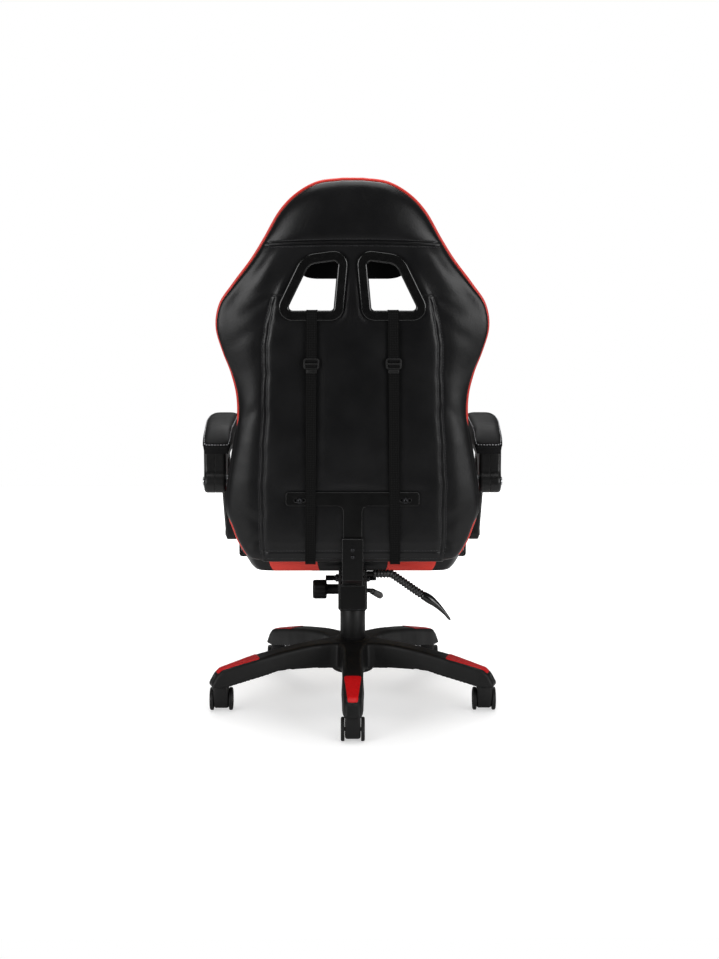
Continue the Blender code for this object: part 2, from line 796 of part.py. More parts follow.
def make_base(mats, base):
    dome = [(HUB_RADIUS - inset, HUB_TOP - drop) for inset, drop in HUB_DOME]
    hub_profile = ((0.0, HUB_BOTTOM), (HUB_RADIUS - HUB_FOOT, HUB_BOTTOM),
                   (HUB_RADIUS - HUB_FOOT / 2, HUB_BOTTOM + HUB_FOOT), *dome, (0.0, HUB_TOP))
    star = new_object("star_base", lathe(hub_profile, LIFT_SIDES), mats["nylon"], base)
    stem_top = CASTER_BODY_TOP + STEM_HEIGHT
    for index in range(LEG_COUNT):
        turn = leg_turn(index)
        leg = loft([leg_ring(share) for share in LEG_STATIONS])
        leg.transform(turn)
        boolean(star, new_object(f"leg_shape_{index + 1}", leg), "UNION")
    for index in range(LEG_COUNT):
        turn = leg_turn(index)
        pocket = insert_solid(GAP, PAST)
        pocket.transform(turn)
        boolean(star, new_object(f"pocket_{index + 1}", pocket))
        socket = lathe(rod(clear_bore(STEM_RADIUS, STEM_SIDES), 0.0, stem_top + GAP), STEM_SIDES)
        socket.transform(turn @ Matrix.Translation((0.0, CASTER_CIRCLE, 0.0)))
        boolean(star, new_object(f"stem_socket_{index + 1}", socket))
        cover = insert_solid(0.0, INSERT_PROUD)
        cover.transform(turn)
        new_object(f"leg_insert_{index + 1}", cover, mats["red"], base)
    boolean(star, new_object("tube_seat", lathe(tube_bore(GAP), LIFT_SIDES)))


def caster_outline():
    """Side view of a caster body: y from the stem, z from the floor, smooth side to the rear."""
    rear = [(y, share * CASTER_BODY_TOP) for y, share in CASTER_REAR]
    bottom = arc((-CASTER_TRAIL, WHEEL_RADIUS), CASTER_SKIRT, -60, -185, 6)
    front = [(y, share * CASTER_BODY_TOP) for y, share in CASTER_FRONT]
    return list(reversed(rear + bottom + front))


def make_casters(mats, base):
    body_half = CASTER_BODY_WIDTH / 2
    face = body_half + 2 * GAP
    flank = face + WHEEL_WIDTH
    round_up = WHEEL_RADIUS / cos(pi / WHEEL_SIDES)
    dish_inner, dish_outer = (share * round_up for share in WHEEL_DISH_SHARES)
    half_wheel = [(0.0, flank - WHEEL_DISH), (dish_inner, flank - WHEEL_DISH), (dish_outer, flank),
                  (round_up - WHEEL_LIP, flank), (round_up, flank - WHEEL_LIP), (round_up, face),
                  (AXLE_RADIUS, face)]
    wheels = [(r, -h) for r, h in half_wheel] + list(reversed(half_wheel))
    for index in range(LEG_COUNT):
        stem = leg_turn(index) @ Vector((0.0, CASTER_CIRCLE, 0.0))
        swivel = axis(f"caster_swivel_{index + 1}", stem, base)
        shell = extrude(caster_outline(), -body_half, body_half, across)
        body = new_object(f"caster_body_{index + 1}", shell, mats["nylon"], swivel)
        edge = body.modifiers.new("edge", "BEVEL")
        edge.width = CASTER_EDGE
        edge.segments = 1
        edge.limit_method = "ANGLE"
        edge.angle_limit = radians(60)
        pin = lathe(rod(STEM_RADIUS, CASTER_BODY_TOP - PAST, CASTER_BODY_TOP + STEM_HEIGHT), STEM_SIDES)
        boolean(body, new_object(f"stem_{index + 1}", pin), "UNION")
        hub = Vector((0.0, -CASTER_TRAIL, WHEEL_RADIUS))
        bore = lathe(rod(AXLE_RADIUS + GAP, -flank, flank), 12, along_x(hub))
        boolean(body, new_object(f"axle_bore_{index + 1}", bore))
        spin = axis(f"caster_spin_{index + 1}", stem + hub, swivel)
        pair = lathe(wheels, WHEEL_SIDES, along_x(Vector()), pi / WHEEL_SIDES)
        new_object(f"caster_wheels_{index + 1}", pair, mats["nylon"], spin)


# Gas lift and its cover

def make_gas_lift(mats, base, swivel, middle, lift):
    wall = TUBE_WALL
    outside = [point for point in tube_bore(0.0) if point[0] > 0.0]
    inside = [(r - wall, max(z, TUBE_BOTTOM + TUBE_FLOOR)) for r, z in reversed(outside)]
    floor_hole = [(ROD_RADIUS + GAP, TUBE_BOTTOM + TUBE_FLOOR), (ROD_RADIUS + GAP, TUBE_BOTTOM)]
    new_object("gas_tube", lathe(outside + inside + floor_hole, LIFT_SIDES), mats["paint"], base)

    bush_low = TUBE_TOP - BUSH_LENGTH
    share = (bush_low - HUB_BOTTOM) / (HUB_TOP - HUB_BOTTOM)
    narrow = TUBE_FOOT_RADIUS + (TUBE_RADIUS - TUBE_FOOT_RADIUS) * share - wall - GAP
    wide = TUBE_RADIUS - wall - GAP
    bush = ((COLUMN_RADIUS + GAP, bush_low), (narrow, bush_low), (wide, HUB_TOP), (wide, TUBE_TOP),
            (COLUMN_RADIUS + GAP, TUBE_TOP))
    new_object("guide_bush", lathe(bush, LIFT_SIDES), mats["nylon"], base)

    bearing = pipe(ROD_RADIUS + GAP, BEARING_RADIUS, BEARING_BOTTOM, BEARING_BOTTOM + BEARING_HEIGHT)
    new_object("thrust_bearing", lathe(bearing, LIFT_SIDES), mats["steel"], base)

    rod_end = TUBE_BOTTOM - CLIP_HEIGHT - ROD_TAIL
    flange_top = ROD_FLANGE_BOTTOM + ROD_FLANGE_HEIGHT
    piston = COLUMN_BORE - GAP
    rod_profile = ((0.0, rod_end), (ROD_RADIUS, rod_end), (ROD_RADIUS, ROD_FLANGE_BOTTOM),
                   (ROD_FLANGE_RADIUS, ROD_FLANGE_BOTTOM), (ROD_FLANGE_RADIUS, flange_top),
                   (ROD_RADIUS, flange_top), (ROD_RADIUS, PISTON_BOTTOM), (piston, PISTON_BOTTOM),
                   (piston, PISTON_BOTTOM + PISTON_HEIGHT), (0.0, PISTON_BOTTOM + PISTON_HEIGHT))
    new_object("piston_rod", lathe(rod_profile, LIFT_SIDES), mats["steel"], swivel)
    clip = pipe(ROD_RADIUS + GAP, CLIP_RADIUS, TUBE_BOTTOM - GAP - CLIP_HEIGHT, TUBE_BOTTOM - GAP)
    new_object("retaining_clip", lathe(clip, LIFT_SIDES), mats["steel"], swivel)

    bore_top = PISTON_BOTTOM + PISTON_HEIGHT + PISTON_HEADROOM
    lip_top = COLUMN_BOTTOM + COLUMN_LIP
    valve_top = COLUMN_TOP + VALVE_HEIGHT
    rod_bore = ROD_RADIUS + GAP
    column = ((rod_bore, COLUMN_BOTTOM), (COLUMN_RADIUS, COLUMN_BOTTOM), (COLUMN_RADIUS, HOUSING_BOTTOM),
              (COLUMN_TIP_RADIUS, COLUMN_TOP), (VALVE_RADIUS, COLUMN_TOP), (VALVE_RADIUS, valve_top),
              (0.0, valve_top))
    cavity = ((0.0, bore_top), (COLUMN_BORE, bore_top), (COLUMN_BORE, lip_top), (rod_bore, lip_top))
    profile = [*reversed(column), *reversed(cavity)]
    new_object("gas_column", lathe(profile, LIFT_SIDES), mats["steel"], lift)

    stage_low = TUBE_TOP + COVER_STAND
    top = HOUSING_BOTTOM - GAP
    stages = (("cover_lower", HUB_TOP + GAP, base), ("cover_middle", stage_low, middle),
              ("cover_upper", stage_low, lift))
    for index, (name, low, carrier) in enumerate(stages):
        outer = COVER_RADIUS - index * (COVER_WALL + COVER_PLAY)
        stage = pipe(outer - COVER_WALL, outer, low, top - (2 - index) * COVER_SETBACK)
        new_object(name, lathe(stage, LIFT_SIDES), mats["nylon"], carrier)


# Tilt mechanism

def housing_outline():
    """Side view of the housing (y, z): a low box with raised ears round the tilt pin."""
    front = HOUSING_FRONT
    rear = HOUSING_REAR
    bottom = HOUSING_BOTTOM
    heel = HOUSING_CORNER
    ears = arc((TILT_PIN_Y, TILT_PIN_Z), TILT_EAR_RADIUS, -10, 150, 8)
    saddle = (TILT_PIN_Y + TILT_EAR_RADIUS + HOUSING_SADDLE, HOUSING_TOP)
    return [(front, bottom + HOUSING_NOSE), (front + HOUSING_NOSE, bottom), (rear - heel, bottom),
            (rear, bottom + heel), (rear, HOUSING_TOP), saddle, *ears, (front, HOUSING_TOP - heel)]


def pin_bore(radius, half_length, place):
    """Cutter along X for a bore that a pin turns in."""
    return lathe(rod(radius + GAP, -half_length, half_length), PIN_SIDES, along_x(place))


def make_tilt_housing(mats, lift):
    half = HOUSING_HALF_WIDTH
    housing = new_object("tilt_housing", extrude(housing_outline(), -half, half, across), mats["paint"], lift)
    edge = housing.modifiers.new("pressed_edge", "BEVEL")
    edge.width = HOUSING_CORNER
    edge.segments = 1
    edge.limit_method = "ANGLE"
    edge.angle_limit = radians(70)
    wall = HOUSING_WALL
    inner_half = half - wall
    front = HOUSING_FRONT + wall
    rear = HOUSING_REAR - wall
    floor = HOUSING_BOTTOM + wall
    nose = HOUSING_NOSE - HOUSING_CORNER
    over = TILT_PIN_Z + TILT_EAR_RADIUS + PAST
    hollow = [(front, floor + nose), (front + nose, floor), (rear, floor), (rear, over), (front, over)]
    boolean(housing, new_object("housing_hollow", extrude(hollow, -inner_half, inner_half, across)))
    socket = lathe(rod(SOCKET_RADIUS, HOUSING_BOTTOM + wall / 2, HOUSING_BOTTOM + SOCKET_HEIGHT), LIFT_SIDES)
    boolean(housing, new_object("taper_socket", socket), "UNION")
    under = HOUSING_BOTTOM - PAST
    foot = COLUMN_RADIUS + GAP
    taper = ((0.0, under), (foot, under), (foot, HOUSING_BOTTOM), (COLUMN_TIP_RADIUS + GAP, COLUMN_TOP),
             (0.0, COLUMN_TOP))
    boolean(housing, new_object("taper_bore", lathe(taper, LIFT_SIDES)))
    pin_place = Vector((0.0, TILT_PIN_Y, TILT_PIN_Z))
    boolean(housing, new_object("tilt_pin_bore", pin_bore(TILT_PIN_RADIUS, half + PAST, pin_place)))
    boolean(housing, new_object("screw_bore", pin_bore(SCREW_RADIUS, PAST, KNOB)))
    boolean(housing, new_object("lever_bore", pin_bore(LEVER_RADIUS, PAST, LEVER_EXIT)))

    lug_outer = HOUSING_HALF_WIDTH + GAP + PLATE_THICKNESS
    reach = lug_outer + GAP + TILT_PIN_HEAD
    head = TILT_PIN_RADIUS + TILT_PIN_FLANGE
    grip = reach - TILT_PIN_HEAD
    pin = ((0.0, -reach), (head, -reach), (head, -grip), (TILT_PIN_RADIUS, -grip), (TILT_PIN_RADIUS, grip),
           (head, grip), (head, reach), (0.0, reach))
    new_object("tilt_pin", local(lathe(pin, PIN_SIDES, along_x(pin_place)), lift), mats["steel"], lift)


def make_tilt_spring(mats, lift):
    low = HOUSING_BOTTOM + HOUSING_WALL + GAP + TILT_SPRING_WIRE
    high = PLATE_BOTTOM - GAP - TILT_SPRING_WIRE
    count = TILT_SPRING_TURNS * TILT_SPRING_STEPS
    radius = TILT_SPRING_RADIUS
    path = []
    for i in range(count + 1):
        angle = 2 * pi * i / TILT_SPRING_STEPS
        height = low + (high - low) * i / count
        path.append(Vector((radius * cos(angle), TILT_SPRING_Y + radius * sin(angle), height)))
    ring = circle(TILT_SPRING_WIRE, 5)
    new_object("tilt_spring", sweep(path, lambda i: ring), mats["steel"], lift)
    far = TILT_SPRING_STEPS // 2
    least = min((path[i] - path[j]).length for i in range(count) for j in range(i + far, count + 1))
    print(f"tilt_spring least gap between turns {1000 * (least - 2 * TILT_SPRING_WIRE):.2f} mm")


def make_knob(mats, turn):
    """Fluted tension knob, its sleeve against the housing and its screw inside, turning about X."""
    sides = 2 * KNOB_LOBES
    start = GAP + KNOB_NECK_LENGTH
    end = start + KNOB_WIDTH
    rim = KNOB_RIM
    stations = [(SCREW_RADIUS, -SCREW_REACH, 0), (SCREW_RADIUS, GAP, 0), (KNOB_NECK_RADIUS, GAP, 0),
                (KNOB_NECK_RADIUS, start, 0), (KNOB_RADIUS - rim, start, 1), (KNOB_RADIUS, start + rim, 1),
                (KNOB_RADIUS, end - rim, 1), (KNOB_RADIUS - rim, end, 1), (KNOB_RADIUS - 2 * rim, end, 0)]
    rings = []
    for radius, height, fluted in stations:
        ring = []
        for i in range(sides):
            reach = radius - KNOB_FLUTE * fluted * (i % 2)
            angle = 2 * pi * i / sides
            ring.append(Vector((height, reach * cos(angle), reach * sin(angle))))
        rings.append(ring)
    new_object("tension_knob", loft(rings), mats["nylon"], turn)


def make_lever(mats, pivot):
    over_valve = COLUMN_TOP + VALVE_HEIGHT + LEVER_PRESS + LEVER_RADIUS
    inside = LEVER_EXIT.x + HOUSING_WALL + LEVER_RADIUS + LEVER_BEND
    outside = LEVER_EXIT.x - 2 * LEVER_BEND
    wall = LEVER_EXIT
    corners = [(0.0, 0.0, over_valve), (inside, wall.y, over_valve), (inside, wall.y, wall.z),
               (outside, wall.y, wall.z), LEVER_END]
    path = fillet_path(corners, LEVER_BEND, 2)
    last = path[-1]
    run = (path[-1] - path[-2]).normalized()
    path[-1:] = [last - run * back for back in PADDLE_SETS]
    radii = [LEVER_RADIUS] * (len(path) - 3) + [PADDLE_RADIUS, PADDLE_RADIUS, PADDLE_TIP_RADIUS]
    bm = sweep(path, lambda i: circle(radii[i], 7))
    new_object("lift_lever", local(bm, pivot), mats["nylon"], pivot)


# Seat

def ear_outline():
    """Side view (y, z) of a recline ear, round the recline pin and the handle's shaft."""
    hinge = (RECLINE_Y, RECLINE_Z)
    handle = (HANDLE.y, HANDLE.z)
    weld = (PLATE_BOTTOM + PLATE_TOP) / 2
    low = arc(hinge, EAR_RADIUS, -105, -15, 5)
    tip = arc(handle, HANDLE_EAR_RADIUS, -30, 120, 6)
    crest = arc(hinge, EAR_RADIUS, 105, 165, 3)
    under = [(y, PLATE_BOTTOM - drop) for y, drop in (EAR_FRONT, EAR_WAIST)]
    return [*under, *low, *tip, *crest, (RECLINE_Y - EAR_CREST_SET, weld), (EAR_FRONT[0], weld)]


def make_seat_plate(mats, seat):
    sheet = rectangle(-PLATE_HALF_WIDTH, PLATE_HALF_WIDTH, PLATE_FRONT, PLATE_REAR)
    bm = extrude(rounded_polygon(sheet, PLATE_CORNER, 3), PLATE_BOTTOM, PLATE_TOP, upward)
    plate = new_object("seat_plate", local(bm, seat), mats["paint"], seat)
    weld = (PLATE_BOTTOM + PLATE_TOP) / 2
    lug = [(TILT_PIN_Y + LUG_HALF_WIDTH, weld), (TILT_PIN_Y - LUG_HALF_WIDTH, weld),
           *arc((TILT_PIN_Y, TILT_PIN_Z), LUG_RADIUS, 190, 350, 6)]
    lug_low = HOUSING_HALF_WIDTH + GAP
    pin_place = Vector((0.0, TILT_PIN_Y, TILT_PIN_Z))
    for side in (1, -1):
        tab = extrude(lug, side * lug_low, side * (lug_low + PLATE_THICKNESS), across)
        boolean(plate, new_object(f"tilt_lug_{side}", local(tab, seat)), "UNION")
        ear = extrude(ear_outline(), side * EAR_INNER, side * (EAR_INNER + EAR_THICKNESS), across)
        boolean(plate, new_object(f"recline_ear_{side}", local(ear, seat)), "UNION")
    lug_bore = pin_bore(TILT_PIN_RADIUS, lug_low + PLATE_THICKNESS + PAST, pin_place)
    boolean(plate, new_object("lug_bore", local(lug_bore, seat)))
    ear_bore = pin_bore(RECLINE_PIN_RADIUS, EAR_INNER + EAR_THICKNESS + PAST, RECLINE)
    boolean(plate, new_object("ear_bore", local(ear_bore, seat)))
    right_ear = HANDLE - Vector((EAR_INNER + EAR_THICKNESS / 2, 0.0, 0.0))
    boolean(plate, new_object("shaft_bore", local(pin_bore(HANDLE_ROD_RADIUS, PAST, right_ear), seat)))

    ends = EAR_INNER + EAR_THICKNESS + GAP
    nut = ends + RECLINE_HEAD
    head = RECLINE_HEAD_RADIUS
    shank = RECLINE_PIN_RADIUS
    left = RECLINE_PIN_LEFT
    right = -RECLINE_PIN_RIGHT
    pin = ((0.0, right), (shank, right), (shank, -nut), (head, -nut), (head, -ends), (shank, -ends),
           (shank, ends), (head, ends), (head, nut), (shank, nut), (shank, left), (0.0, left))
    new_object("recline_pin", local(lathe(pin, PIN_SIDES, along_x(RECLINE)), seat), mats["paint"], seat)


def pan_outline(clearance):
    half = PAN_HALF_WIDTH + clearance
    board = rectangle(-half, half, PAN_FRONT - clearance, PAN_REAR + clearance)
    return rounded_polygon(board, PAN_CORNER + clearance, 4)


def make_seat(mats, seat):
    pan = extrude(pan_outline(0.0), PAN_BOTTOM, PAN_TOP, upward)
    new_object("seat_pan", local(pan, seat), mats["board"], seat)
    outline = resampled(smooth(SEAT_OUTLINE, 6), SEAT_ROWS)
    width_at = sorted((row.y, row.x) for row in outline)

    def height(x, y):
        side = profile_at(width_at, y) - abs(x)
        bump = sin(pi * min(1.0, side / SEAT_BOLSTER_WIDTH)) * ease(*SEAT_BOLSTER_FADE, y)
        flat = ease(SEAT_BOLSTER_WIDTH, SEAT_BOLSTER_WIDTH + CHANNEL_FADE, side)
        groove = SEAT_CHANNEL * flat * (0.5 + 0.5 * cos(2 * pi * y / SEAT_CHANNEL_PITCH))
        full = SEAT_HEIGHT + SEAT_BOLSTER * bump - groove
        return SEAT_SIDE + (full - SEAT_SIDE) * crown(edge_distance(x, y, outline), SEAT_EDGE)

    def seat_point(x, y, rise):
        return Vector((x, y, SEAT_BOTTOM + rise))

    bm = padded(outline, height, SEAT_DRAW_IN, seat_point, WIDE_SPREAD)
    cushion = new_object("seat_cushion", local(bm, seat), mats["seat"], seat)
    recess = extrude(pan_outline(GAP), PLATE_BOTTOM, PAN_TOP + GAP, upward)
    boolean(cushion, new_object("pan_recess", local(recess, seat)))


# Recline handle

def make_handle(mats, grip):
    slope = Vector((-cos(HANDLE_SLOPE), 0.0, -sin(HANDLE_SLOPE)))
    elbow = Vector((HANDLE_ELBOW_X, HANDLE.y, HANDLE.z))
    start = Vector((-BRACKET_HALF_WIDTH - 4 * GAP, HANDLE.y, HANDLE.z))
    horn_start = elbow + slope * (SLEEVE_END + GAP)
    rod_end = horn_start + slope * HORN_SOCKET
    path = fillet_path([start, elbow, rod_end], HANDLE_BEND, 4)
    ring = circle(HANDLE_ROD_RADIUS, ROD_SIDES)
    new_object("handle_rod", local(sweep(path, lambda i: ring), grip), mats["paint"], grip)

    inner = clear_bore(HANDLE_ROD_RADIUS, ROD_SIDES)
    outer = inner + SLEEVE_WALL
    pitch = (SLEEVE_END - SLEEVE_START) / SLEEVE_RIBS
    profile = [(inner, SLEEVE_START), (outer, SLEEVE_START)]
    for rib in range(SLEEVE_RIBS):
        profile.append((outer + SLEEVE_RIB, SLEEVE_START + (rib + 0.5) * pitch))
        profile.append((outer, SLEEVE_START + (rib + 1) * pitch))
    profile.append((inner, SLEEVE_END))
    aim = Matrix.Translation(elbow) @ slope.to_track_quat("Z", "Y").to_matrix().to_4x4()
    new_object("handle_sleeve", local(lathe(profile, ROD_SIDES, aim), grip), mats["rubber"], grip)

    knee = horn_start + slope * HORN_ELBOW
    tip = Vector((HORN_TIP[0], HANDLE.y, HORN_TIP[1]))
    curve = []
    radii = []
    for i in range(HORN_STEPS + 1):
        t = i / HORN_STEPS
        curve.append(horn_start * (1 - t) ** 2 + knee * (2 * t * (1 - t)) + tip * t ** 2)
        swell = HORN_RADIUS + HORN_SWELL * sin(pi * min(1.0, t / HORN_SWELL_SPAN))
        radii.append(swell + (HORN_POINT_RADIUS - swell) * ease(HORN_TAPER_FROM, 1.0, t))
    shape = sweep(curve, lambda i: circle(radii[i], PIN_SIDES))
    horn = new_object("handle_tip", local(shape, grip), mats["gloss"], grip)
    socket_path = [horn_start - slope * PAST, rod_end + slope * GAP]
    socket = sweep(socket_path, lambda i: circle(HANDLE_ROD_RADIUS + GAP, PIN_SIDES))
    boolean(horn, new_object("horn_socket", local(socket, grip)))


# Backrest

def back_point(sign, base):
    """Padded face of the back, rising to the rear (+1) or to the front (-1) of a flat seam plane."""
    return lambda x, s, rise: Vector((x, base + sign * rise, s))


def inset_outline(outline, margin):
    """The mirrored outline drawn inward by a margin, as one closed loop."""
    half = []
    for i, point in enumerate(outline):
        before = outline[max(i - 1, 0)]
        after = outline[min(i + 1, len(outline) - 1)]
        run = (after - before).normalized()
        moved = point + Vector((-run.y, run.x)) * margin
        half.append(Vector((max(moved.x, HOOP_HALF_TOP), max(moved.y, outline[0].y + margin))))
    return [(p.x, p.y) for p in half] + [(-p.x, p.y) for p in reversed(half)]


def bezel_corners(side):
    corners = [(side * x, s) for x, s in BEZEL_HOLE]
    area = sum(a[0] * b[1] - b[0] * a[1] for a, b in zip(corners, corners[1:] + corners[:1]))
    return corners if area > 0 else list(reversed(corners))


def bezel_outline(side, grow):
    return rounded_polygon(offset_polygon(bezel_corners(side), grow), BEZEL_HOLE_RADIUS + grow, BEZEL_STEPS)


def make_bezel(name, side, mats, back):
    """Moulded frame: a wide rim on the rear face and a tunnel through the back."""
    rim_low = BACK_REAR + GAP
    rim_high = BACK_REAR + BEZEL_PROUD
    slope = BEZEL_SLOPE
    hole = bezel_outline(side, 0.0)
    tunnel = bezel_outline(side, BEZEL_WALL)
    rim = bezel_outline(side, BEZEL_RIM)
    crest = bezel_outline(side, BEZEL_RIM - slope)
    lead = bezel_outline(side, slope)
    stations = [(hole, BACK_FRONT), (tunnel, BACK_FRONT), (tunnel, rim_low), (rim, rim_low),
                (rim, rim_low + BEZEL_LIP), (crest, rim_high), (lead, rim_high), (hole, rim_high - slope)]
    rings = [[Vector((x, v, s)) for x, s in outline] for outline, v in stations]
    new_object(name, loft(rings, closed=True), mats["gloss"], back)


def make_back(mats, back):
    outline = resampled(smooth(BACK_OUTLINE, 6), BACK_ROWS)

    def cover_height(x, s):
        rise = crown(edge_distance(x, s, outline), COVER_EDGE)
        return COVER_SIDE + (BACK_COVER_THICKNESS - COVER_SIDE) * rise

    def cushion_height(x, s):
        distance = side_distance(x, s, outline)
        wing = ease(*WING_LOWER, s) * (1.0 - ease(*WING_UPPER, s))
        bump = sin(pi * min(1.0, distance / WING_WIDTH))
        seam = min(abs(s - channel) for channel in BACK_CHANNELS)
        flat = ease(WING_WIDTH, WING_WIDTH + CHANNEL_FADE, distance)
        groove = BACK_CHANNEL * flat * max(0.0, 1.0 - seam / BACK_CHANNEL_HALF_WIDTH)
        full = BACK_CUSHION_THICKNESS + WING_RISE * wing * bump - groove
        return CUSHION_SIDE + (full - CUSHION_SIDE) * crown(edge_distance(x, s, outline), CUSHION_EDGE)

    rear = padded(outline, cover_height, 1.0, back_point(1, BACK_SPLIT), PLAIN_SPREAD)
    cover = new_object("back_cover", rear, mats["leather"], back)
    front = padded(outline, cushion_height, 1.0, back_point(-1, BACK_SPLIT - GAP), WIDE_SPREAD)
    cushion = new_object("back_cushion", front, mats["leather"], back)

    bends = resampled(smooth(BACK_OUTLINE, 6), FRAME_BENDS)
    recess_loop = inset_outline(bends, RECESS_MARGIN)
    recess = extrude(recess_loop, BACK_SPLIT - PAST, BACK_SPLIT + RECESS_DEPTH, rearward)
    boolean(cover, new_object("frame_recess", recess))
    for side, name in ((1, "left"), (-1, "right")):
        hole = bezel_outline(side, BEZEL_WALL + GAP)
        rear_cut = extrude(hole, BACK_SPLIT - PAST, BACK_REAR + PAST, rearward)
        boolean(cover, new_object(f"cover_hole_{name}", rear_cut))
        front_cut = extrude(hole, BACK_FRONT - WING_RISE - PAST, BACK_SPLIT + PAST, rearward)
        boolean(cushion, new_object(f"cushion_hole_{name}", front_cut))
        make_bezel(f"bezel_{name}", side, mats, back)
        boss = rod(PIVOT_BOSS_RADIUS + GAP, PIVOT_INNER - GAP, ARM_OUTER)
        bore = mirrored(lathe(boss, PIN_SIDES, along_x(arm_pivot_in_back())), side)
        boolean(cushion, new_object(f"pivot_bore_{name}", bore))

    flat_radius = FRAME_TUBE_RADIUS * cos(pi / FRAME_SIDES)
    frame_v = BACK_SPLIT + RECESS_DEPTH - GAP - flat_radius
    ring = circle(FRAME_TUBE_RADIUS, FRAME_SIDES)
    path = [(x, frame_v, s) for x, s in inset_outline(bends, FRAME_MARGIN)]
    new_object("back_frame", sweep(path, lambda i: ring, closed=True), mats["paint"], back)


def arm_pivot_in_back():
    """The armrest pivot, turned into the leaning back's frame."""
    return Matrix.Rotation(BACK_LEAN, 3, "X") @ ARM_OFFSET


def make_back_bracket(mats, back):
    low = BACK_REAR + GAP
    high = low + BAR_THICKNESS
    leg = BAR_LEG_HALF_WIDTH
    corner = (leg + BAR_FILLET, BAR_LOW - BAR_FILLET)
    end = BAR_HALF_LENGTH
    nip = BAR_END_RADIUS
    half = [(leg, BAR_LEG_END), *arc(corner, BAR_FILLET, 180, 90, 2), (end - nip, BAR_LOW),
            (end, BAR_LOW + nip), (end, BAR_HIGH - nip), (end - nip, BAR_HIGH)]
    outline = half + [(-x, s) for x, s in reversed(half)]
    bar = new_object("t_bar", extrude(outline, low, high, rearward), mats["paint"], back)
    for side in (1, -1):
        run = BAR_SLOT_LENGTH / 2 - BAR_SLOT_WIDTH / 2
        centre = side * BAR_SLOT_X
        slot = (arc((centre + run, BAR_SLOT_S), BAR_SLOT_WIDTH / 2, -90, 90, 5)
                + arc((centre - run, BAR_SLOT_S), BAR_SLOT_WIDTH / 2, 90, 270, 5))
        boolean(bar, new_object(f"bar_slot_{side}", extrude(slot, low - PAST, high + PAST, rearward)))

    face = high + GAP
    outer = face + BRACKET_THICKNESS
    knuckle = arc((0.0, 0.0), KNUCKLE_RADIUS, 285, 40, 8)
    side_view = [(face, BRACKET_TOP), (face, BRACKET_BEND), BRACKET_INSIDE, *reversed(knuckle),
                 BRACKET_OUTSIDE, (outer - BRACKET_CORNER, BRACKET_HEEL),
                 (outer, BRACKET_BEND - BRACKET_CORNER), (outer, BRACKET_TOP)]
    half_width = BRACKET_HALF_WIDTH
    shape = extrude(side_view, -half_width, half_width, across)
    bracket = new_object("back_bracket", shape, mats["paint"], back)
    knuckle_bore = pin_bore(RECLINE_PIN_RADIUS, half_width + PAST, Vector())
    boolean(bracket, new_object("knuckle_bore", knuckle_bore))


def pillow(name, half_width, low, high, thickness, gap, mats, back):
    """Stuffed pillow with a flat back, on the front of the backrest."""
    middle = (low + high) / 2
    half_height = (high - low) / 2
    outline = []
    for i in range(PILLOW_ROWS):
        angle = PILLOW_SWEEP * (2 * i / (PILLOW_ROWS - 1) - 1)
        width = half_width * cos(angle) ** PILLOW_SQUARENESS
        outline.append(Vector((width, middle + half_height * sin(angle) / sin(PILLOW_SWEEP))))

    def height(x, s):
        return PILLOW_SIDE + (thickness - PILLOW_SIDE) * crown(edge_distance(x, s, outline), PILLOW_EDGE)

    shape = padded(outline, height, PILLOW_BACK, back_point(-1, BACK_FRONT - gap), PLAIN_SPREAD)
    new_object(name, shape, mats["leather"], back)


def strap_route():
    """Loop of a strap (v, s): down the rear, under the back, up the front and through the cut-out."""
    half = STRAP_THICKNESS / 2
    over_rim = BACK_REAR + BEZEL_PROUD + GAP + half
    over_bar = BACK_REAR + 2 * GAP + BAR_THICKNESS + half
    sill = min(s for x, s in BEZEL_HOLE)
    through = sill + GAP + half
    front = BACK_FRONT - GAP - half
    under = BACK_OUTLINE[0][1] - GAP - half
    rim_low = sill - BEZEL_RIM
    leave, leave_rise = STRAP_OFF_BAR
    rear_wrap = [(BACK_REAR - inset, under + rise) for inset, rise in STRAP_REAR_WRAP]
    front_wrap = [(front + inset, under + rise) for inset, rise in STRAP_FRONT_WRAP]
    return [(over_rim - STRAP_TURN, through), (over_rim, through - STRAP_TURN), (over_rim, rim_low),
            (over_bar, BAR_HIGH), (over_bar, BAR_LOW), (over_bar - leave, under + leave_rise),
            *rear_wrap, *front_wrap, (front, through)]


def strap_x(s):
    top = BEZEL_HOLE[1][1]
    bottom = BACK_OUTLINE[0][1]
    return STRAP_LOW_X + (STRAP_TOP_X - STRAP_LOW_X) * (s - bottom) / (top - bottom)


def make_straps(mats, back):
    half = STRAP_THICKNESS / 2
    width = STRAP_WIDTH / 2
    section = [(-width, -half), (width, -half), (width, half), (-width, half)]
    route = strap_route()
    (rim_v, rim_s), (bar_v, bar_s) = route[2:4]
    buckle_v = rim_v + (bar_v - rim_v) * (rim_s - BUCKLE_S) / (rim_s - bar_s)
    for side, name in ((1, "left"), (-1, "right")):
        path = [(side * strap_x(s), v, s) for v, s in route]
        new_object(f"strap_{name}", sweep(path, lambda i: section, closed=True), mats["webbing"], back)
        across_x, deep, tall = BUCKLE_SIZE
        centre = side * strap_x(BUCKLE_S)
        low = BUCKLE_S - tall / 2
        plate = rectangle(centre - across_x / 2, centre + across_x / 2, low, low + tall)
        frame = rounded_polygon(plate, BUCKLE_CORNER, 2)
        shape = extrude(frame, buckle_v - deep / 2, buckle_v + deep / 2, rearward)
        buckle = new_object(f"buckle_{name}", shape, mats["nylon"], back)
        mouth = width + 3 * GAP
        throat = half + GAP
        slot = rectangle(centre - mouth, centre + mouth, buckle_v - throat, buckle_v + throat)
        cutter = loft([[Vector((x, v, s)) for x, v in slot] for s in (BUCKLE_S - tall, BUCKLE_S + tall)])
        boolean(buckle, new_object(f"buckle_slot_{name}", cutter))


# Armrests

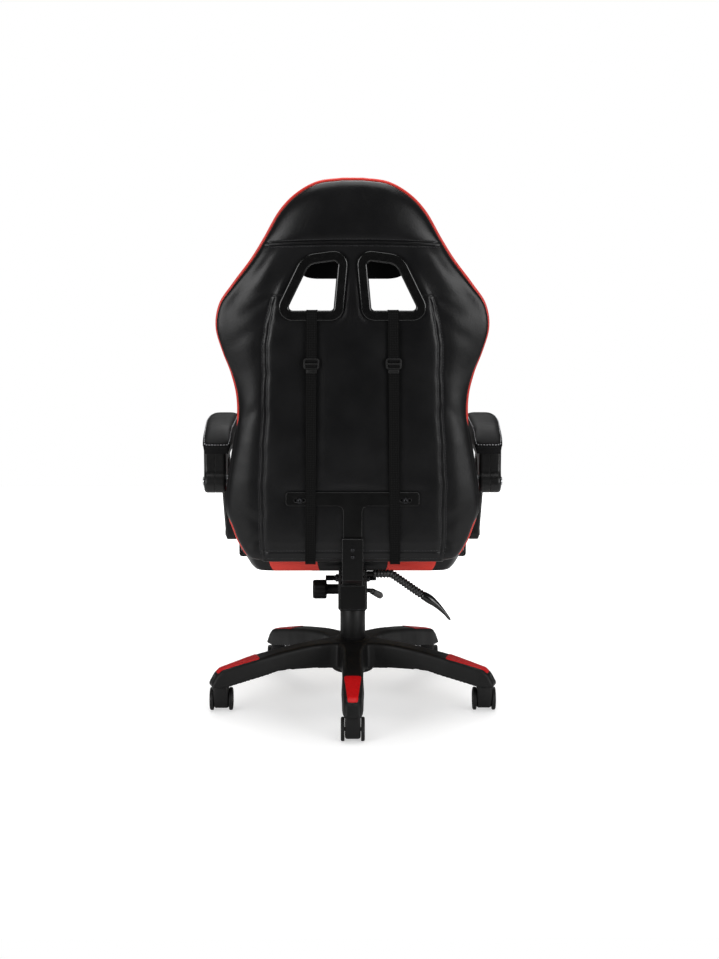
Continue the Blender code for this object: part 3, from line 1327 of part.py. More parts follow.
def arm_outline():
    """Side view (y, z) of the moulded arm: a beam under the pad, a front boss and the rear hub."""
    hub = (ARM_PIVOT.y, ARM_PIVOT.z)
    boss = (LINK_TOP.y, LINK_TOP.z)
    end = hub[0] + ARM_HUB_RADIUS
    rear = [(end - inset, ARM_TOP - drop) for inset, drop in ARM_REAR]
    hub_arc = arc(hub, ARM_HUB_RADIUS, 5, -165, 10)
    belly = [(hub[0] - ahead, hub[1] + rise) for ahead, rise in ARM_BELLY]
    boss_arc = arc(boss, ARM_BOSS_RADIUS, -70, -140, 4)
    nose = [(ARM_FRONT + inset, boss[1] + rise) for inset, rise in ARM_NOSE]
    return [(ARM_FRONT + ARM_NOSE_TOP, ARM_TOP), *rear, (end, hub[1] + ARM_HUB_RISE), *hub_arc, *belly,
            *boss_arc, *nose]


def mirrored(bm, side):
    if side < 0:
        bm.transform(Matrix.Scale(-1, 4, (1, 0, 0)))
    return bm


def make_armrest(name, side, mats, back, arm, link, seat):
    bm = mirrored(extrude(arm_outline(), ARM_INNER, ARM_OUTER, across), side)
    body = new_object(f"arm_body_{name}", local(bm, arm), mats["nylon"], arm)
    edge = body.modifiers.new("moulded_edge", "BEVEL")
    edge.width = ARM_BEVEL
    edge.segments = 1
    edge.limit_method = "ANGLE"
    edge.angle_limit = radians(60)
    trough = rectangle(TROUGH_FRONT, TROUGH_REAR, ARM_PIVOT.z - PAST, ARM_TOP - ARM_ROOF)
    hollow = mirrored(extrude(trough, ARM_INNER + ARM_WALL, ARM_OUTER - ARM_WALL, across), side)
    boolean(body, new_object(f"trough_{name}", local(hollow, arm)))
    shank = rod(ARM_PIN_RADIUS, ARM_INNER + ARM_WALL / 2, ARM_OUTER - ARM_WALL / 2)
    pin = lathe(shank, STEM_SIDES, along_x(LINK_TOP))
    boolean(body, new_object(f"arm_pin_{name}", local(mirrored(pin, side), arm)), "UNION")
    bore = rod(PIVOT_RADIUS + GAP, ARM_INNER - PAST, ARM_OUTER + PAST)
    hub_bore = mirrored(lathe(bore, PIN_SIDES, along_x(ARM_PIVOT)), side)
    boolean(body, new_object(f"hub_bore_{name}", local(hub_bore, arm)))

    make_arm_pad(name, side, mats, arm)

    head = ARM_OUTER + GAP
    boss = ARM_INNER - GAP
    cap = head + PIVOT_HEAD
    pivot = ((0.0, PIVOT_INNER), (PIVOT_BOSS_RADIUS, PIVOT_INNER), (PIVOT_BOSS_RADIUS, boss),
             (PIVOT_RADIUS, boss), (PIVOT_RADIUS, head), (PIVOT_HEAD_RADIUS, head),
             (PIVOT_HEAD_RADIUS - PIVOT_HEAD_EDGE, cap), (0.0, cap))
    turned = mirrored(lathe(pivot, PIN_SIDES, along_x(arm_pivot_in_back())), side)
    new_object(f"arm_pivot_{name}", turned, mats["steel"], back)

    make_arm_link(name, side, mats, link)
    make_arm_bracket(name, side, mats, seat)


def make_arm_pad(name, side, mats, arm):
    """Stitched pad: round-cornered sections along the arm, wrapped down over its rear end."""
    middle = (PAD_INNER + PAD_OUTER) / 2
    half = (PAD_OUTER - PAD_INNER) / 2
    low = ARM_TOP + GAP
    length = PAD_REAR - PAD_FRONT
    rings = []
    for share in PAD_STATIONS:
        y = PAD_FRONT + length * share
        from_end = min(share, 1.0 - share) * length
        swell = crown(from_end, PAD_END)
        wide = half * (PAD_END_WIDTH + (1 - PAD_END_WIDTH) * swell)
        tall = PAD_HEIGHT * (PAD_END_HEIGHT + (1 - PAD_END_HEIGHT) * swell)
        bottom = low if y < ARM_PIVOT.y + ARM_HUB_RADIUS + GAP else low - PAD_DROOP
        corner = min(PAD_CORNER, tall * PAD_CORNER_SHARE)
        shape = rounded_polygon(rectangle(-wide, wide, bottom, low + tall), corner, 2)
        rings.append([Vector((middle + a, y, z)) for a, z in shape])
    new_object(f"arm_pad_{name}", local(mirrored(loft(rings), side), arm), mats["leather"], arm)


def link_x(share):
    return LINK_LOWER_X + (LINK_UPPER_X - LINK_LOWER_X) * ease(*LINK_CRANK, share)


def make_arm_link(name, side, mats, link):
    """Flat moulded link that leans outward from the seat bracket to the arm."""
    run = ARM_OFFSET.normalized()
    flank = Vector((0.0, run.z, -run.y))
    length = ARM_OFFSET.length
    end = LINK_HALF_WIDTH / length
    lower_end = [-end * step for step in reversed(LINK_END_SHARES)]
    upper_end = [1 + end * step for step in LINK_END_SHARES]
    rings = []
    for share in (*lower_end, *LINK_SHARES, *upper_end):
        past = max(-share, share - 1.0, 0.0) * length
        half = max(sqrt(max(LINK_HALF_WIDTH ** 2 - past ** 2, 0.0)), LINK_TIP_HALF_WIDTH)
        thick = LINK_THICKNESS / 2
        centre = LINK_PIVOT + ARM_OFFSET * share + Vector((link_x(share), 0.0, 0.0))
        shape = rounded_polygon(rectangle(-thick, thick, -half, half), LINK_CORNER, 1)
        rings.append([centre + Vector((a, 0.0, 0.0)) + flank * b for a, b in shape])
    bar = new_object(f"arm_link_{name}", local(mirrored(loft(rings), side), link), mats["nylon"], link)
    upper = lathe(rod(ARM_PIN_RADIUS + GAP, ARM_INNER, ARM_OUTER), STEM_SIDES, along_x(LINK_TOP))
    lower = lathe(rod(STUD_RADIUS + GAP, BRACKET_OUTER_X, ARM_OUTER), STEM_SIDES, along_x(LINK_PIVOT))
    boolean(bar, new_object(f"link_upper_bore_{name}", local(mirrored(upper, side), link)))
    boolean(bar, new_object(f"link_lower_bore_{name}", local(mirrored(lower, side), link)))


def make_arm_bracket(name, side, mats, seat):
    """Bent steel strip under the seat, with the welded stud that the link turns on."""
    thick = BRACKET_PLATE
    low = PLATE_TOP - thick
    outer = BRACKET_OUTER_X
    inner = outer - thick
    bend = arc((outer - BRACKET_CURVE, low + BRACKET_CURVE), BRACKET_CURVE, -90, 0, 2)
    inside = BRACKET_CURVE / 2
    top = LINK_PIVOT.z + BRACKET_RISE
    strip = [(BRACKET_INNER_X, low), *bend, (outer, top), (inner, top), (inner, PLATE_TOP + inside),
             (inner - inside, PLATE_TOP), (BRACKET_INNER_X, PLATE_TOP)]
    rings = [[Vector((x, y, z)) for x, z in strip]
             for y in (LINK_PIVOT.y - BRACKET_HALF_DEPTH, LINK_PIVOT.y + BRACKET_HALF_DEPTH)]
    bracket = new_object(f"arm_bracket_{name}", local(mirrored(loft(rings), side), seat), mats["paint"], seat)
    link_inner = LINK_LOWER_X - LINK_THICKNESS / 2
    root = outer - thick / 2
    shoulder = link_inner - GAP
    end = link_inner + LINK_THICKNESS + STUD_PROUD
    stud = ((0.0, root), (STUD_SHOULDER_RADIUS, root), (STUD_SHOULDER_RADIUS, shoulder),
            (STUD_RADIUS, shoulder), (STUD_RADIUS, end), (0.0, end))
    pin = mirrored(lathe(stud, STEM_SIDES, along_x(LINK_PIVOT)), side)
    boolean(bracket, new_object(f"stud_{name}", local(pin, seat)), "UNION")


# Assembly

def build():
    for obj in list(bpy.data.objects):
        bpy.data.objects.remove(obj)
    mats = make_materials()

    base = axis("base_axis", (0.0, 0.0, 0.0))
    swivel = axis("swivel_axis", (0.0, 0.0, 0.0), base)
    middle = axis("cover_axis", (0.0, 0.0, 0.0), swivel)
    lift = axis("lift_axis", (0.0, 0.0, 0.0), swivel)
    seat = axis("tilt_axis", (0.0, TILT_PIN_Y, TILT_PIN_Z), lift)
    back = axis("recline_axis", RECLINE, seat, BACK_LEAN)
    knob = axis("knob_axis", KNOB, lift)
    lever = axis("lever_axis", LEVER_EXIT, lift)
    grip = axis("handle_axis", HANDLE, seat)

    make_base(mats, base)
    make_casters(mats, base)
    make_gas_lift(mats, base, swivel, middle, lift)
    make_tilt_housing(mats, lift)
    make_tilt_spring(mats, lift)
    make_knob(mats, knob)
    make_lever(mats, lever)
    make_seat_plate(mats, seat)
    make_seat(mats, seat)
    make_handle(mats, grip)
    make_back(mats, back)
    make_back_bracket(mats, back)
    pillow("head_pillow", HEAD_PILLOW_HALF_WIDTH, HEAD_PILLOW_LOW, HEAD_PILLOW_HIGH, HEAD_PILLOW_THICKNESS,
           HEAD_PILLOW_GAP, mats, back)
    pillow("lumbar_pillow", LUMBAR_HALF_WIDTH, LUMBAR_LOW, LUMBAR_HIGH, LUMBAR_THICKNESS,
           LUMBAR_GAP, mats, back)
    make_straps(mats, back)
    for side, name in ((1, "left"), (-1, "right")):
        arm = axis(f"arm_axis_{name}", ARM_PIVOT, seat)
        link = axis(f"link_axis_{name}", LINK_PIVOT, seat)
        make_armrest(name, side, mats, back, arm, link, seat)
    bpy.context.view_layer.update()


build()
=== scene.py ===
"""Looks of the reclining chair: upholstery, mouldings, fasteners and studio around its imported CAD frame."""

from math import acos, atan2, cos, exp, pi, radians, sin, tan

import bmesh
import bpy
import numpy as np
from mathutils import Matrix, Vector


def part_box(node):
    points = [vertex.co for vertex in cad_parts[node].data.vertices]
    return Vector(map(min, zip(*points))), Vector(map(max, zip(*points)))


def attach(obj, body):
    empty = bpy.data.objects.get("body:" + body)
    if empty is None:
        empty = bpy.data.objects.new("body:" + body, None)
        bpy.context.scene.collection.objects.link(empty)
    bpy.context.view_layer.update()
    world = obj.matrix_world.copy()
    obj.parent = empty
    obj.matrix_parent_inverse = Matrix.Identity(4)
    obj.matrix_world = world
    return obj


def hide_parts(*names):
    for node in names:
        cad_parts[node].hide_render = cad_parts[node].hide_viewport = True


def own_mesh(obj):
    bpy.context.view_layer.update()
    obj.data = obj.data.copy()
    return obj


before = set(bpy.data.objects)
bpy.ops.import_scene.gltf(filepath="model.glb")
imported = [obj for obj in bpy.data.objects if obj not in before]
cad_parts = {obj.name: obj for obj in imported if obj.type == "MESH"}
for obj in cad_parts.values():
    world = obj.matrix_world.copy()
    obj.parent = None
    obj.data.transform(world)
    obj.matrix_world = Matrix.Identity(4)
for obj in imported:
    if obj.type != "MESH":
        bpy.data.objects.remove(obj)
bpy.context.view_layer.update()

# Camera at the photograph's viewing angle: behind the chair, a little above it and turned a touch aside
PHOTO_HEIGHT = 959
FOCAL_PIXELS = 1686.0
SENSOR_MM = 36.0
camera_data = bpy.data.cameras.new("photo_camera")
camera_data.sensor_width = SENSOR_MM
camera_data.lens = SENSOR_MM * FOCAL_PIXELS / PHOTO_HEIGHT
camera = bpy.data.objects.new("photo_camera", camera_data)
camera.location = (0.0, 3.608, 1.140)
camera.rotation_euler = (radians(79.86), 0.0, radians(179.762))
bpy.context.scene.collection.objects.link(camera)
bpy.context.scene.camera = camera

# Sizes shared with the CAD model, in metres
GAP = 0.0003
RECLINE = Vector((0.0, 0.195, 0.322))
BACK = Matrix.Translation(RECLINE) @ Matrix.Rotation(radians(-5.0), 4, "X")
BACK_REAR = 0.0556
BACK_SPLIT = 0.0176
BACK_FRONT = -0.0300
BACK_OUTLINE = (
    (0.186, 0.045), (0.215, 0.054), (0.235, 0.086), (0.246, 0.116), (0.2572, 0.152), (0.2560, 0.195),
    (0.2480, 0.249), (0.2390, 0.303), (0.2316, 0.350), (0.2327, 0.395), (0.2425, 0.437), (0.2590, 0.480),
    (0.2718, 0.530), (0.2640, 0.577), (0.2361, 0.617), (0.2000, 0.664), (0.1740, 0.705), (0.1430, 0.758),
    (0.1096, 0.7926), (0.0678, 0.8156), (0.0200, 0.8223),
)
BEZEL_HOLE = ((0.0285, 0.6675), (0.0375, 0.5697), (0.1285, 0.5697), (0.0840, 0.6600))
BEZEL_HOLE_RADII = (0.007, 0.007, 0.007, 0.024)
SILL = BEZEL_HOLE[1][1]
BEZEL_RIM = 0.0170
BEZEL_WALL = 0.004
BEZEL_FLARE = 0.0150
BEZEL_PROUD = 0.0058
BAR_HALF_LENGTH = 0.1345
BAR_LOW = 0.172
BAR_HIGH = 0.201
BAR_THICKNESS = 0.004
BRACKET_HALF_WIDTH = 0.0212
BRACKET_THICKNESS = 0.006
BRACKET_SCREWS = (0.0812, 0.0664)
SLOT_X = 0.107
SLOT_HEIGHT = 0.184
STRAP_WIDTH = 0.021
STRAP_THICKNESS = 0.0016
STRAP_LOW_X = 0.0865
STRAP_HIGH_X = 0.080
SEAT_BOTTOM = 0.3285
SEAT_OUTLINE = (
    (0.170, 0.160), (0.207, 0.150), (0.224, 0.105), (0.236, 0.020), (0.239, -0.100), (0.237, -0.210),
    (0.228, -0.275), (0.200, -0.313), (0.140, -0.325),
)
ARM_INNER = 0.2610
ARM_OUTER = 0.3070
ARM_TOP = 0.5985
ARM_PIVOT = (0.165, 0.521)
LINK_TOP = (-0.060, 0.571)
PAD_INNER = 0.2475
PAD_OUTER = 0.3105
SIDES = ((1, "left"), (-1, "right"))
LEG_COUNT = 5


# Shapes: each is a list of points and a list of faces

def loft(rings, closed=False):
    """Skin over rings of equal length; open ends are capped."""
    count = len(rings[0])
    points = [Vector(p) for ring in rings for p in ring]
    faces = []
    for i in range(len(rings) if closed else len(rings) - 1):
        low = i * count
        high = (i + 1) % len(rings) * count
        for k in range(count):
            n = (k + 1) % count
            faces.append((low + k, low + n, high + n, high + k))
    if not closed:
        faces.append(tuple(range(count)))
        faces.append(tuple(range(len(points) - count, len(points))))
    return points, faces


def join(*shapes):
    points = []
    faces = []
    for more, skin in shapes:
        start = len(points)
        points.extend(more)
        faces.extend(tuple(i + start for i in face) for face in skin)
    return points, faces


def moved(shape, matrix):
    return [matrix @ Vector(p) for p in shape[0]], shape[1]


def flipped(shape, side):
    """The shape as made for the sitter's left, or its mirror image for the right."""
    return [Vector((side * p[0], p[1], p[2])) for p in shape[0]], shape[1]


def circle(radius, sides):
    return [(radius * cos(2 * pi * i / sides), radius * sin(2 * pi * i / sides)) for i in range(sides)]


def lathe(profile, sides, place=Matrix(), closed=False):
    """Turned form about Z from (radius, height) points."""
    rings = [[place @ Vector((a, b, height)) for a, b in circle(radius, sides)] for radius, height in profile]
    return loft(rings, closed)


def sweep(path, section, closed=False, side=None):
    """Carry a section(i) of (side, up) points along a path without twist, or with a fixed side."""
    points = [Vector(p) for p in path]
    count = len(points)
    rings = []
    beside = Vector(side) if side else None
    for i, point in enumerate(points):
        into = point - points[i - 1] if i or closed else Vector()
        out = points[(i + 1) % count] - point if i + 1 < count or closed else Vector()
        tangent = (into.normalized() + out.normalized()).normalized()
        if beside is None:
            beside = tangent.orthogonal().normalized()
        across = (beside - tangent * beside.dot(tangent)).normalized()
        if side is None:
            beside = across
        up = tangent.cross(across)
        rings.append([point + across * a + up * b for a, b in section(i)])
    return loft(rings, closed)


def arc(centre, radius, start, end, steps):
    """Points round a centre, with angles in degrees."""
    angles = [radians(start + (end - start) * i / steps) for i in range(steps + 1)]
    return [(centre[0] + radius * cos(a), centre[1] + radius * sin(a)) for a in angles]


def grown(corners, distance):
    """Move each side of a counter-clockwise polygon outward."""
    result = []
    count = len(corners)
    for i in range(count):
        a, b, c = (Vector(corners[(i + k) % count]) for k in (-1, 0, 1))
        first = (b - a).normalized()
        second = (c - b).normalized()
        out = Vector((first.y, -first.x))
        bisector = (out + Vector((second.y, -second.x))).normalized()
        result.append(tuple(b + bisector * (distance / max(0.3, bisector.dot(out)))))
    return result


def corner(points, i):
    """A corner's point, the directions to its neighbours and half the angle between them."""
    a, b, c = (Vector(points[(i + k) % len(points)]) for k in (-1, 0, 1))
    to_a = (a - b).normalized()
    to_c = (c - b).normalized()
    return b, to_a, to_c, acos(max(-1.0, min(1.0, to_a.dot(to_c)))) / 2


def rounded(corners, radii, steps):
    """A convex polygon with arcs at its corners, of one radius or of one each."""
    outline = []
    for i in range(len(corners)):
        radius = radii[i] if isinstance(radii, list) else radii
        b, to_a, to_c, half = corner(corners, i)
        reach = radius / tan(half)
        centre = b + (to_a + to_c).normalized() * (radius / sin(half))
        start = b + to_a * reach - centre
        end = b + to_c * reach - centre
        first = atan2(start.y, start.x)
        turn = (atan2(end.y, end.x) - first + pi) % (2 * pi) - pi
        angles = [first + turn * k / steps for k in range(steps + 1)]
        outline.extend((centre.x + radius * cos(t), centre.y + radius * sin(t)) for t in angles)
    return outline


def rectangle(left, right, low, high):
    return [(left, low), (right, low), (right, high), (left, high)]


def bent(corners, radius, steps):
    """A 3-D polyline whose inner corners are rounded."""
    points = [Vector(corners[0])]
    for i in range(1, len(corners) - 1):
        b, to_a, to_c, half = corner(corners, i)
        start = b + to_a * (radius / tan(half))
        end = b + to_c * (radius / tan(half))
        for k in range(steps + 1):
            t = k / steps
            points.append(start * (1 - t) ** 2 + b * (2 * t * (1 - t)) + end * t ** 2)
    points.append(Vector(corners[-1]))
    return points


def slab(outline, stations, place):
    """A moulded slab: one outline (counter-clockwise), drawn in by an inset at each (position, inset)."""
    rings = []
    for position, inset in stations:
        ring = grown(outline, -inset) if inset else outline
        rings.append([place(a, b, position) for a, b in ring])
    return loft(rings)


def soft_edges(low, high, radius, steps=4):
    """Stations across a slab whose two edges are rounded."""
    ends = [(radius * (1 - sin(pi / 2 * k / steps)), radius * (1 - cos(pi / 2 * k / steps)))
            for k in range(steps + 1)]
    first = [(low + depth, inset) for inset, depth in ends]
    return first + [(high - (position - low), inset) for position, inset in reversed(first)]


def along_x(x, y, z):
    """Turns a lathe's Z axis to +X and sets it at a place."""
    return Matrix.Translation((x, y, z)) @ Matrix.Rotation(pi / 2, 4, "Y")


def in_back(x, v, s):
    """A place in the leaning back's own frame: x across, v to the rear, s up from the recline pin."""
    return Matrix.Translation((x, v, s))


def smooth_curve(points, per_span):
    """Points on a Catmull-Rom curve through the given ones."""
    p = np.array(points, float)
    p = np.vstack([2 * p[0] - p[1], p, 2 * p[-1] - p[-2]])
    curve = []
    for a, b, c, d in zip(p, p[1:], p[2:], p[3:]):
        for t in np.arange(per_span) / per_span:
            pull = (c - a) * t + (2 * a - 5 * b + 4 * c - d) * t ** 2 + (3 * b - a - 3 * c + d) * t ** 3
            curve.append(b + 0.5 * pull)
    return np.array([*curve, p[-2]])


def looked_up(table, place):
    """Value at a place in a table of (place, value) pairs, straight between them."""
    return np.interp(place, *np.transpose(table))


def ease(low, high, value):
    t = np.clip((value - low) / (high - low), 0.0, 1.0)
    return t * t * (3 - 2 * t)


def band(value, start, full, fade, end):
    """One from full to fade, eased to nothing at the start and at the end."""
    return ease(start, full, value) * (1 - ease(fade, end, value))


# Pieces

def new_mesh(name, shape):
    points, faces = shape
    mesh = bpy.data.meshes.new(name)
    mesh.from_pydata([tuple(p) for p in points], [], [tuple(int(i) for i in face) for face in faces])
    skin = bmesh.new()
    skin.from_mesh(mesh)
    bmesh.ops.recalc_face_normals(skin, faces=skin.faces)
    skin.to_mesh(mesh)
    skin.free()
    return mesh


def new_object(name, mesh):
    obj = bpy.data.objects.new(name, mesh)
    bpy.context.scene.collection.objects.link(obj)
    return obj


def carried(obj, body, stands_for=()):
    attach(obj, body)
    if stands_for:
        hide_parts(*stands_for)
    return obj


def shaded(mesh, crease):
    """Smooth shading but for edges sharper than the crease angle."""
    mesh.shade_smooth()
    mesh.set_sharp_from_angle(angle=radians(crease))


def piece(name, shape, body, slot, *finishes, stands_for=(), crease=40, shades=None):
    """A finished piece on a body."""
    mesh = new_mesh(name, shape)
    for finish in finishes:
        mesh.materials.append(finish)
    if shades is not None:
        mesh.polygons.foreach_set("material_index", np.array(shades, np.int32))
    shaded(mesh, crease)
    return carried(new_object(name, mesh), body, stands_for)


def settle(obj):
    """Make what the modifiers show the object's own mesh."""
    shown = obj.evaluated_get(bpy.context.evaluated_depsgraph_get())
    mesh = bpy.data.meshes.new_from_object(shown)
    obj.modifiers.clear()
    obj.data = mesh


def cut(obj, shape, crease):
    """Cut a closed shape out of a piece, and shade it again."""
    tool = new_object("cutter", new_mesh("cutter", shape))
    step = obj.modifiers.new("cut", "BOOLEAN")
    step.operation = "DIFFERENCE"
    step.solver = "EXACT"
    step.object = tool
    settle(obj)
    bpy.data.objects.remove(tool)
    shaded(obj.data, crease)


def dress(node, finish, edge=0.0008):
    """Finish a CAD node that keeps its shape: facets welded, edges broken, faces smoothed."""
    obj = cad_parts[node]
    obj.data.materials.clear()
    obj.data.materials.append(finish)
    obj.data.polygons.foreach_set("use_smooth", [True] * len(obj.data.polygons))
    weld = obj.modifiers.new("weld", "WELD")
    weld.merge_threshold = 0.00002
    if edge:
        bevel = obj.modifiers.new("broken_edge", "BEVEL")
        bevel.width = edge
        bevel.segments = 2
        bevel.limit_method = "ANGLE"
        bevel.angle_limit = radians(32)
        level = obj.modifiers.new("flat_faces", "WEIGHTED_NORMAL")
        level.weight = 100
    else:
        split = obj.modifiers.new("crisp_edge", "EDGE_SPLIT")
        split.split_angle = radians(32)


# Materials

def linear(colour):
    """sRGB hex to the linear colour that a shader takes."""
    channels = [int(colour[i:i + 2], 16) / 255 for i in (1, 3, 5)]
    return [c / 12.92 if c <= 0.04045 else ((c + 0.055) / 1.055) ** 2.4 for c in channels] + [1.0]


def per_metre(millimetres):
    """Texture scale at which one unit of a pattern is this long."""
    return 1000.0 / millimetres


def add(tree, kind, inputs=None, **settings):
    """One node with its settings, and its inputs as values or as sockets to link."""
    node = tree.nodes.new("ShaderNode" + kind)
    for name, value in settings.items():
        setattr(node, name, value)
    for name, value in (inputs or {}).items():
        if isinstance(value, bpy.types.NodeSocket):
            tree.links.new(value, node.inputs[name])
        else:
            node.inputs[name].default_value = value
    return node


def blank(name):
    """A new material, its empty tree and the object's own coordinates in it."""
    material = bpy.data.materials.new(name)
    material.use_nodes = True
    tree = material.node_tree
    tree.nodes.clear()
    return material, tree, add(tree, "TexCoord").outputs["Object"]


def noise(tree, place, millimetres, detail):
    """Cloudy pattern with patches of about this size."""
    inputs = {"Vector": place, "Scale": per_metre(millimetres), "Detail": detail}
    return add(tree, "TexNoise", inputs).outputs["Fac"]


def wave(tree, place, millimetres, direction="X", more=None):
    """Bands that follow each other along a direction, each about a sixth of this size wide."""
    inputs = {"Vector": place, "Scale": per_metre(millimetres), **(more or {})}
    return add(tree, "TexWave", inputs, bands_direction=direction).outputs["Fac"]


def times(tree, first, second):
    return add(tree, "Math", {0: first, 1: second}, operation="MULTIPLY").outputs[0]


def mixed(tree, share, colour, other):
    return add(tree, "MixRGB", {"Fac": share, "Color1": linear(colour), "Color2": linear(other)}).outputs[0]


def ranged(tree, value, to, span=(0.0, 1.0)):
    """A value carried from its span to another."""
    ends = {"From Min": span[0], "From Max": span[1], "To Min": to[0], "To Max": to[1]}
    return add(tree, "MapRange", {"Value": value, **ends}).outputs[0]


def raised(tree, height, strength, distance):
    return add(tree, "Bump", {"Height": height, "Strength": strength, "Distance": distance}).outputs[0]


def painted_edge_highlight(tree, radius, sharpest):
    """Mask for a painted edge highlight: where a normal averaged over the radius leans away from the
    surface's own.
    """
    worn = add(tree, "Bevel", {"Radius": radius}, samples=4).outputs[0]
    own = add(tree, "NewGeometry").outputs["Normal"]
    flat = add(tree, "VectorMath", {0: worn, 1: own}, operation="DOT_PRODUCT").outputs["Value"]
    return ranged(tree, flat, (0.0, 1.0), (0.995, sharpest))


def covered(material, tree, colour, roughness, normal, constants):
    """The material's shader, with the constants on its own sockets, and its output."""
    inputs = {"Base Color": colour, "Roughness": roughness, "Normal": normal, **constants}
    shader = add(tree, "BsdfPrincipled", inputs)
    add(tree, "OutputMaterial", {"Surface": shader.outputs[0]})
    return material


# Where a noise's values mostly lie
PATCHY = (0.3, 0.7)


def embossed_leather(name, colour, stretched, sheen=(0.29, 0.39), shine=0.30):
    """Polyurethane leather, rolled with a pebble grain over foam: a soft broad sheen broken by the grain, and
    paler where it is stretched. Real pebbles are near 1 mm; they are drawn at 2.2 mm so that they show."""
    material, tree, place = blank(name)
    pebbles = add(tree, "TexVoronoi", {"Vector": place, "Scale": per_metre(2.2), "Randomness": 0.85},
                  feature="SMOOTH_F1").outputs["Distance"]
    pull = noise(tree, place, 70, 4.0)
    folds = raised(tree, noise(tree, place, 14, 3.0), 0.12, 0.0015)
    grain = add(tree, "Bump", {"Height": pebbles, "Strength": 0.30, "Distance": 0.0004, "Normal": folds},
                invert=True).outputs[0]
    return covered(material, tree, mixed(tree, pull, colour, stretched), ranged(tree, pull, sheen, PATCHY),
                   grain, {"IOR": 1.5, "Specular IOR Level": shine})


def moulded_nylon(name, colour, edge_highlight, dull=(0.42, 0.56), shine=0.26):
    """Glass-filled nylon from a spark-eroded mould: a fine dull texture, with its edges painted paler as a
    highlight.
    The texture is near 0.3 mm and is drawn at 0.9 mm so that it shows."""
    material, tree, place = blank(name)
    # Paler edges: a painted highlight
    edges = painted_edge_highlight(tree, 0.0024, 0.90)
    grit = raised(tree, noise(tree, place, 0.9, 2.0), 0.16, 0.0002)
    matt = ranged(tree, noise(tree, place, 45, 3.0), dull, PATCHY)
    return covered(material, tree, mixed(tree, edges, colour, edge_highlight), matt, grit,
                   {"IOR": 1.53, "Specular IOR Level": shine})


def glossy_abs(name, colour, haze):
    """ABS from a polished mould: a clear sharp gloss, a little wavy from shrinkage, with a faint haze."""
    material, tree, place = blank(name)
    wiping = noise(tree, place, 9, 5.0)
    sink = raised(tree, noise(tree, place, 22, 1.0), 0.08, 0.001)
    return covered(material, tree, mixed(tree, wiping, colour, haze),
                   ranged(tree, wiping, (0.13, 0.24), (0.35, 0.7)), sink, {"IOR": 1.53})


def brushed_red_abs(name, colour, deep):
    """Red ABS foot cover with a slanting brushed pattern in its mould: bright colour, semi-gloss, and fine
    ridges that break the light. The ridges are near 1 mm and are drawn at 3.6 mm so that they show."""
    material, tree, place = blank(name)
    ridges = wave(tree, place, 20, "DIAGONAL", {"Distortion": 1.5, "Detail": 2.0, "Detail Scale": 2.0})
    scuff = noise(tree, place, 6, 5.0)
    return covered(material, tree, mixed(tree, scuff, colour, deep),
                   ranged(tree, scuff, (0.28, 0.45), PATCHY),
                   raised(tree, ridges, 0.25, 0.0005), {"IOR": 1.53, "Specular IOR Level": 0.20})


def powder_coat(name, colour, edge_highlight):
    """Powder-coated pressed steel: satin, with the orange peel of the baked powder, and its edges painted
    paler as a highlight.
    The peel is near 1.5 mm across."""
    material, tree, place = blank(name)
    # Paler edges: a painted highlight
    edges = painted_edge_highlight(tree, 0.0012, 0.93)
    peel = raised(tree, noise(tree, place, 1.5, 1.0), 0.14, 0.0003)
    satin = ranged(tree, noise(tree, place, 30, 4.0), (0.28, 0.40), PATCHY)
    return covered(material, tree, mixed(tree, edges, colour, edge_highlight), satin, peel,
                   {"IOR": 1.5, "Specular IOR Level": 0.20})


def turned_steel(name, colour, dulled):
    """Turned steel, zinc-plated or blackened: a mirror dulled in patches, with turning lines 0.8 mm wide."""
    material, tree, place = blank(name)
    patches = noise(tree, place, 5, 4.0)
    lines = raised(tree, wave(tree, place, 5, more={"Distortion": 0.6}), 0.08, 0.0002)
    return covered(material, tree, mixed(tree, patches, colour, dulled),
                   ranged(tree, patches, (0.22, 0.40), PATCHY), lines, {"Metallic": 1.0})


def soft_pvc(name, colour, dusty):
    """Dipped soft PVC grip: rubbery and dull, greyed by dust in its hollows."""
    material, tree, place = blank(name)
    dust = noise(tree, place, 7, 5.0)
    return covered(material, tree, mixed(tree, dust, colour, dusty), ranged(tree, dust, (0.30, 0.45), PATCHY),
                   raised(tree, dust, 0.12, 0.0003), {"IOR": 1.52})


def woven_webbing(name, colour, crest):
    """Woven polypropylene webbing: flat ribs across the strap and yarns along it, which catch light on their
    tops. Ribs are near 1.2 mm and are drawn at 2.4 mm so that they show."""
    material, tree, place = blank(name)
    ribs = wave(tree, place, 15, "Z", {"Distortion": 0.3})
    weave = times(tree, ribs, wave(tree, place, 11, "X", {"Distortion": 0.2}))
    return covered(material, tree, mixed(tree, weave, colour, crest), ranged(tree, weave, (0.85, 0.62)),
                   raised(tree, weave, 0.5, 0.0004), {"IOR": 1.49, "Specular IOR Level": 0.12})


def spun_thread(name, colour, light):
    """Bonded polyester thread: three plies twisted together, with a low waxy gloss."""
    material, tree, place = blank(name)
    plies = wave(tree, place, 6, "DIAGONAL")
    return covered(material, tree, mixed(tree, plies, colour, light), ranged(tree, plies, (0.65, 0.45)),
                   raised(tree, plies, 0.4, 0.0002), {"IOR": 1.5})


def birch_plywood(name, pale, dark):
    """Birch plywood: pale long grain on the faces and 1.5 mm plies along the edges, dry and matt."""
    material, tree, place = blank(name)
    stretch = add(tree, "Mapping", {"Vector": place, "Scale": (1.0, 0.08, 1.0)}).outputs[0]
    grain = noise(tree, stretch, 5, 6.0)
    figure = times(tree, grain, wave(tree, place, 9.6, "Z"))
    return covered(material, tree, mixed(tree, figure, pale, dark), ranged(tree, grain, (0.6, 0.8)),
                   raised(tree, figure, 0.2, 0.0003), {"IOR": 1.5})


